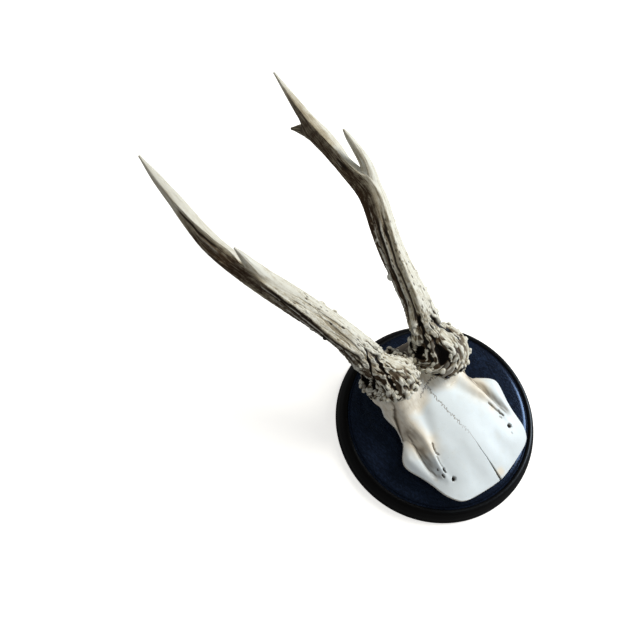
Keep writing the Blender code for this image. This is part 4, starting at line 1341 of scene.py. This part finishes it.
def antler_material(settings):
    """Cleaned antler: dense bone, rubbed to ivory on pearls and tips, with brown dried skin left in
    its creases. It is matt, and only the tips have a soft gloss."""
    material, tree, shader = new_material("cleaned_antler", 0.6, 1.54)
    shader.inputs["Specular IOR Level"].default_value = 0.22
    place = add_node(tree, "ShaderNodeTexCoord", {}, "Object")
    grain = add_node(tree, "ShaderNodeAttribute", {}, "Vector", attribute_name="grain")
    hollow, rise, crease, tip, flank, stained, burr = (
        add_node(tree, "ShaderNodeAttribute", {}, "Fac", attribute_name=label)
        for label in ("hollow", "rise", "crease", "tip", "flank", "stained", "burr"))
    lengthwise = add_node(tree, "ShaderNodeMapping", {"Vector": grain, "Scale": (1.0, 1.0, 0.08)})
    # Fibres 0.8 mm wide and blotches of 5 mm, with grain of half a millimetre under them.
    streaks, blotches, dust = (
        add_node(tree, "ShaderNodeTexNoise",
                 {"Vector": where, "Scale": 1.0 / (size * MM), "Detail": detail, "Roughness": 0.6})
        for where, size, detail in ((lengthwise, 0.8, 3.0), (place, 5.0, 2.0), (place, 0.5, 2.0)))
    # The tone paints shade: it darkens the side that faces -X, away from the key light.
    tone = weighted_sum(tree, -1.24, [
        # the brown patches stand partly for the shade of the side they lie on
        (streaks, 1.5), (blotches, 0.5), (flank, 0.36), (crease, 0.5), (stained, 0.62),
        (burr, 0.12), (tip, -0.1), (dust, 0.5),
    ])
    ivory, tan, brown, furrow = settings.ivory, settings.tan, settings.brown, settings.furrow
    colour = layered(tree, (*ivory, 1.0), [
        (tone, 0.0, 0.42, 1.0, tan), (tone, 0.4, 1.0, 1.0, brown), (rise, 0.35, 0.9, 0.75, ivory),
        (crease, 0.3, 1.0, 0.65, brown), (hollow, 0.05, 0.4, 0.85, brown),
        (hollow, 0.3, 0.8, 1.0, furrow),
    ])
    tree.links.new(colour, shader.inputs["Base Color"])
    gloss = weighted_sum(tree, 0.62, [(tip, -0.22)])
    tree.links.new(gloss, shader.inputs["Roughness"])
    fine = weighted_sum(tree, 0.0, [(dust, 1.0), (streaks, 1.2)])
    bump = add_node(tree, "ShaderNodeBump", {"Height": fine, "Strength": 0.4, "Distance": 0.12 * MM})
    tree.links.new(bump, shader.inputs["Normal"])
    return material


def bone_material(settings):
    """Boiled and bleached skull bone: chalk white and faintly blue on the forehead, cream where fat
    has stayed in it, matt, with fine pores and, on its ridges, fibres."""
    material, tree, shader = new_material("bleached_bone", 0.52, 1.54)
    shader.inputs["Specular IOR Level"].default_value = 0.3
    place = add_node(tree, "ShaderNodeTexCoord", {}, "Object")
    warm, dark, under = (add_node(tree, "ShaderNodeAttribute", {}, "Fac", attribute_name=label)
                         for label in ("warm", "dark", "under"))
    along = add_node(tree, "ShaderNodeMapping",
                     {"Vector": place, "Scale": (1.0, 0.25, 0.3), "Rotation": (0.0, 0.0, 0.2)})
    # Clouds of 14 mm, pores of 0.7 mm and fibres 1.1 mm wide.
    cloud, pores, fibres = (
        add_node(tree, "ShaderNodeTexNoise",
                 {"Vector": where, "Scale": 1.0 / (size * MM), "Detail": 3.0, "Roughness": 0.55})
        for where, size in ((place, 14.0), (place, 0.7), (along, 1.1)))
    warmth = weighted_sum(tree, -0.75, [(warm, 1.15), (cloud, 1.5)])
    fibrous = add_node(tree, "ShaderNodeMath", {0: fibres, 1: warm}, operation="MULTIPLY")
    # The dark value is partly painted shade: inside the deep holes and the open crack, along the
    # grooves beside the ridges, under the burrs, behind the antlers and over the eye sockets. The rest
    # is seams and slots.
    colour = layered(tree, (*settings.white, 1.0), [
        (cloud, 0.5, 0.7, 0.5, settings.cool), (warmth, 0.05, 0.9, 1.0, settings.cream),
        (fibrous, 0.42, 0.75, 0.4, settings.stain), (pores, 0.62, 0.78, 0.3, settings.stain),
        (under, 0.1, 1.0, 0.6, settings.stain), (dark, 0.0, 0.5, 0.6, settings.seam),
        (dark, 0.4, 1.0, 1.0, settings.hole),
    ])
    tree.links.new(colour, shader.inputs["Base Color"])
    fine = weighted_sum(tree, 0.0, [(pores, 1.0), (fibrous, 3.0)])
    bump = add_node(tree, "ShaderNodeBump", {"Height": fine, "Strength": 0.3, "Distance": 0.09 * MM})
    tree.links.new(bump, shader.inputs["Normal"])
    return material


def wood_material(name, stain, worn, tint, roughness):
    """Turned beech with a nearly black stain under varnish, which gives it dim coloured reflections,
    clear on the panel and dull on the moulding. Its pores, dashes 0.9 mm wide, catch the light."""
    material, tree, shader = new_material(name, roughness, 1.5)
    shader.inputs["Specular Tint"].default_value = (*tint, 1.0)
    place = add_node(tree, "ShaderNodeTexCoord", {}, "Object")
    along = add_node(tree, "ShaderNodeMapping",
                     {"Vector": place, "Rotation": (0.0, 0.0, 0.75), "Scale": (1.0, 0.4, 1.0)})
    grain, bands = (
        add_node(tree, "ShaderNodeTexNoise",
                 {"Vector": along, "Scale": 1.0 / (size * MM), "Detail": 3.0, "Roughness": 0.55})
        for size in (0.9, 7.0))
    light = weighted_sum(tree, 0.0, [(grain, 0.75), (bands, 0.25)])
    colour = layered(tree, (*stain, 1.0), [(light, 0.45, 0.75, 1.0, worn)])
    tree.links.new(colour, shader.inputs["Base Color"])
    gloss = weighted_sum(tree, roughness - 0.08, [(grain, 0.16)])
    tree.links.new(gloss, shader.inputs["Roughness"])
    bump = add_node(tree, "ShaderNodeBump", {"Height": grain, "Strength": 0.3, "Distance": 0.08 * MM})
    tree.links.new(bump, shader.inputs["Normal"])
    return material


# ---------------------------------------------------------------- settings

def colour_property(name, description, code):
    """A colour that the panel shows, given as an sRGB hex code."""
    return bpy.props.FloatVectorProperty(
        name=name, description=description, subtype="COLOR", size=3, min=0.0, max=1.0,
        default=linear(code))


class TrophyPlaqueSettings(bpy.types.PropertyGroup):
    """Size and colours of the plaque."""

    panel_height: bpy.props.FloatProperty(
        name="Panel height", description="Height of the raised panel over the flat back",
        default=PANEL_HEIGHT * MM, min=0.012, max=0.0142, unit="LENGTH")
    panel: colour_property("Panel", "Blue-black stain of the panel", "#0F141F")
    speck: colour_property("Pores", "Pores of the panel that catch the light", "#1E2A40")
    moulding: colour_property("Moulding", "Stain of the outer moulding", "#050404")
    moulding_light: colour_property("Worn moulding", "Thin stain on the moulding", "#100F0D")


class TrophySkullSettings(bpy.types.PropertyGroup):
    """Sizes and colours of the skull cap."""

    suture_depth: bpy.props.FloatProperty(
        name="Suture depth", description="Depth of the seams between the bones",
        default=0.0001, min=0.0, max=0.001, unit="LENGTH")
    crack_depth: bpy.props.FloatProperty(
        name="Crack depth", description="Depth of the open seam towards the nose",
        default=0.0026, min=0.0, max=0.004, unit="LENGTH")
    white: colour_property("Forehead", "Bleached bone", "#E9F2F4")
    cool: colour_property("Cool clouds", "Bluish clouds in the bleached bone", "#D6E7EF")
    cream: colour_property("Cream", "Bone near the antlers", "#F2EBDA")
    stain: colour_property("Stain", "Pores, fibres and undersides", "#B09A76")
    seam: colour_property("Seams", "Edges of holes and thin seams", "#7A6750")
    hole: colour_property("Holes", "Inside of holes", "#221810")


class TrophyAntlerSettings(bpy.types.PropertyGroup):
    """Sizes and colours of the antlers."""

    lobe_height: bpy.props.FloatProperty(
        name="Lobe height", description="Height of the burr's knobs and flutes over its creases",
        default=0.0038, min=0.0, max=0.006, unit="LENGTH")
    pearl_size: bpy.props.FloatProperty(
        name="Pearl size", description="Size of the burr's free pearls against the usual one",
        default=1.0, min=0.5, max=1.5, subtype="FACTOR")
    ivory: colour_property("Ivory", "Rubbed pearls and tips", "#E6E5D8")
    tan: colour_property("Tan", "Antler between the ridges", "#BBB197")
    brown: colour_property("Brown", "Unrubbed antler", "#43301B")
    furrow: colour_property("Furrows", "Dried skin in the furrows", "#120A03")


class TrophyStageSettings(bpy.types.PropertyGroup):
    """Light and floor."""

    key_power: bpy.props.FloatProperty(
        name="Key light", description="Power of the key light", default=11.6, min=0.0,
        unit="POWER")
    window_power: bpy.props.FloatProperty(
        name="Window", description="Power of the bluish light from the side", default=1.8, min=0.0,
        unit="POWER")
    sheen_power: bpy.props.FloatProperty(
        name="Sheen", description="Power of the light that only shows in reflections",
        default=13.0, min=0.0, unit="POWER")
    sky: bpy.props.FloatProperty(
        name="Sky", description="Strength of the light from all round", default=0.31, min=0.0)
    floor: colour_property("Floor", "Colour of the floor", "#F2F1EE")
    glow: bpy.props.FloatProperty(
        name="Glow", description="Light given off by the floor", default=0.7, min=0.0)


# ---------------------------------------------------------------- stage

def aim(item, place, target, upright):
    """Put an item at a place so that its -Z axis points at the target."""
    back = (Vector(place) - Vector(target)).normalized()
    right = Vector(upright).cross(back).normalized()
    up = back.cross(right)
    turn = Matrix((right, up, back)).transposed().to_4x4()
    item.matrix_world = Matrix.Translation(Vector(place) * MM) @ turn


def add_light(name, power, place, target, size, colour, matt, shiny):
    """A soft light, which may light matt surfaces only, as a polarised lamp does, or show in
    reflections only."""
    data = bpy.data.lights.new(name, "AREA")
    data.shape = "RECTANGLE"
    data.size, data.size_y = size
    data.energy = power
    data.color = colour
    light = bpy.data.objects.new(name, data)
    bpy.context.scene.collection.objects.link(light)
    aim(light, place, target, (0.0, 0.1, 1.0))
    light.visible_diffuse = matt
    light.visible_glossy = shiny


def make_camera():
    """The camera of the picture."""
    data = bpy.data.cameras.new("camera")
    data.sensor_width = SENSOR_WIDTH
    data.lens = SENSOR_WIDTH * CAMERA_FOCAL_PIXELS / PICTURE_PIXELS
    data.clip_start = 0.01
    camera = bpy.data.objects.new("camera", data)
    bpy.context.scene.collection.objects.link(camera)
    aim(camera, CAMERA_PLACE, CAMERA_TARGET, CAMERA_UPRIGHT)
    bpy.context.scene.camera = camera


def make_floor(colour, glow):
    """A plain pale floor under the plaque, lit a little from below as on a light table."""
    mesh = bpy.data.meshes.new("floor")
    corners = [(-1, -1), (1, -1), (1, 1), (-1, 1)]
    mesh.from_pydata([(FLOOR_HALF_WIDTH * x, FLOOR_HALF_WIDTH * y, 0.0) for x, y in corners], [],
                     [(0, 1, 2, 3)])
    material, _, shader = new_material("backlit_acrylic", 0.9, 1.45)
    shader.inputs["Base Color"].default_value = (*colour, 1.0)
    shader.inputs["Emission Color"].default_value = (*colour, 1.0)
    shader.inputs["Emission Strength"].default_value = glow
    mesh.materials.append(material)
    floor = bpy.data.objects.new("floor", mesh)
    bpy.context.scene.collection.objects.link(floor)
    floor.visible_diffuse = False
    floor.visible_glossy = False


# ---------------------------------------------------------------- operators

class TROPHY_OT_plaque(bpy.types.Operator):
    """Build the turned plaque"""

    bl_idname = "trophy.plaque"
    bl_label = "Plaque"

    def execute(self, context):
        """Build the piece from the scene's settings."""
        make_plaque(context.scene.trophy_plaque)
        return {"FINISHED"}


class TROPHY_OT_skull_cap(bpy.types.Operator):
    """Build the skull cap with its two pedicles"""

    bl_idname = "trophy.skull_cap"
    bl_label = "Skull cap"

    def execute(self, context):
        """Build the dome and both stalks from the scene's settings."""
        settings = context.scene.trophy_skull
        material = bone_material(settings)
        make_skull_dome(settings, material)
        for side in ANTLERS:
            make_pedicle(side, material)
        return {"FINISHED"}


class TROPHY_OT_antlers(bpy.types.Operator):
    """Build both antlers with their burrs and tines"""

    bl_idname = "trophy.antlers"
    bl_label = "Antlers"

    def execute(self, context):
        """Build burrs, stems and tines from the scene's settings."""
        settings = context.scene.trophy_antlers
        material = antler_material(settings)
        for side in ANTLERS:
            for part in ("burr", "stem"):
                make_antler_part(side, part, settings, material)
            make_beads(side, settings, material)
        for name in TINES:
            make_tine(name, material)
        return {"FINISHED"}


class TROPHY_OT_stage(bpy.types.Operator):
    """Set up floor, light and camera"""

    bl_idname = "trophy.stage"
    bl_label = "Stage"

    def execute(self, context):
        """Build the stage from the scene's settings."""
        settings = context.scene.trophy_stage
        make_camera()
        make_floor(tuple(settings.floor), settings.glow)
        for name, light in LIGHTS.items():
            add_light(name, getattr(settings, name + "_power"), *light)
        world = bpy.data.worlds.new("sky")
        world.use_nodes = True
        background = world.node_tree.nodes["Background"]
        background.inputs["Color"].default_value = SKY_COLOUR
        shiny = add_node(world.node_tree, "ShaderNodeLightPath", {}, "Is Glossy Ray")
        strength = weighted_sum(world.node_tree, settings.sky,
                                [(shiny, (SKY_REFLECTED - 1.0) * settings.sky)])
        world.node_tree.links.new(strength, background.inputs["Strength"])
        context.scene.world = world
        context.scene.view_settings.view_transform = "Standard"
        return {"FINISHED"}


class TROPHY_PT_panel(bpy.types.Panel):
    """Lists the trophy's pieces"""

    bl_idname = "TROPHY_PT_panel"
    bl_label = "Roe-deer trophy"
    bl_space_type = "VIEW_3D"
    bl_region_type = "UI"
    bl_category = "Trophy"

    def draw(self, context):
        """Show each piece's button above its settings."""
        for operator, group in PANEL_ROWS:
            box = self.layout.box()
            box.operator(operator)
            settings = getattr(context.scene, group)
            for label in settings.__annotations__:
                box.prop(settings, label)


PANEL_ROWS = (
    ("trophy.plaque", "trophy_plaque"),
    ("trophy.skull_cap", "trophy_skull"),
    ("trophy.antlers", "trophy_antlers"),
    ("trophy.stage", "trophy_stage"),
)
SETTINGS = {
    "trophy_plaque": TrophyPlaqueSettings,
    "trophy_skull": TrophySkullSettings,
    "trophy_antlers": TrophyAntlerSettings,
    "trophy_stage": TrophyStageSettings,
}
CLASSES = (
    *SETTINGS.values(), TROPHY_OT_plaque, TROPHY_OT_skull_cap, TROPHY_OT_antlers,
    TROPHY_OT_stage, TROPHY_PT_panel,
)


def register():
    """Register the classes and hang the settings on the scene."""
    for entry in CLASSES:
        bpy.utils.register_class(entry)
    for label, group in SETTINGS.items():
        setattr(bpy.types.Scene, label, bpy.props.PointerProperty(type=group))


def unregister():
    """Take the settings and the classes away again."""
    for label in SETTINGS:
        delattr(bpy.types.Scene, label)
    for entry in reversed(CLASSES):
        bpy.utils.unregister_class(entry)


def main():
    """Build the trophy and its stage."""
    register()
    bpy.ops.trophy.stage()
    bpy.ops.trophy.plaque()
    bpy.ops.trophy.skull_cap()
    bpy.ops.trophy.antlers()


if __name__ == "__main__":
    main()
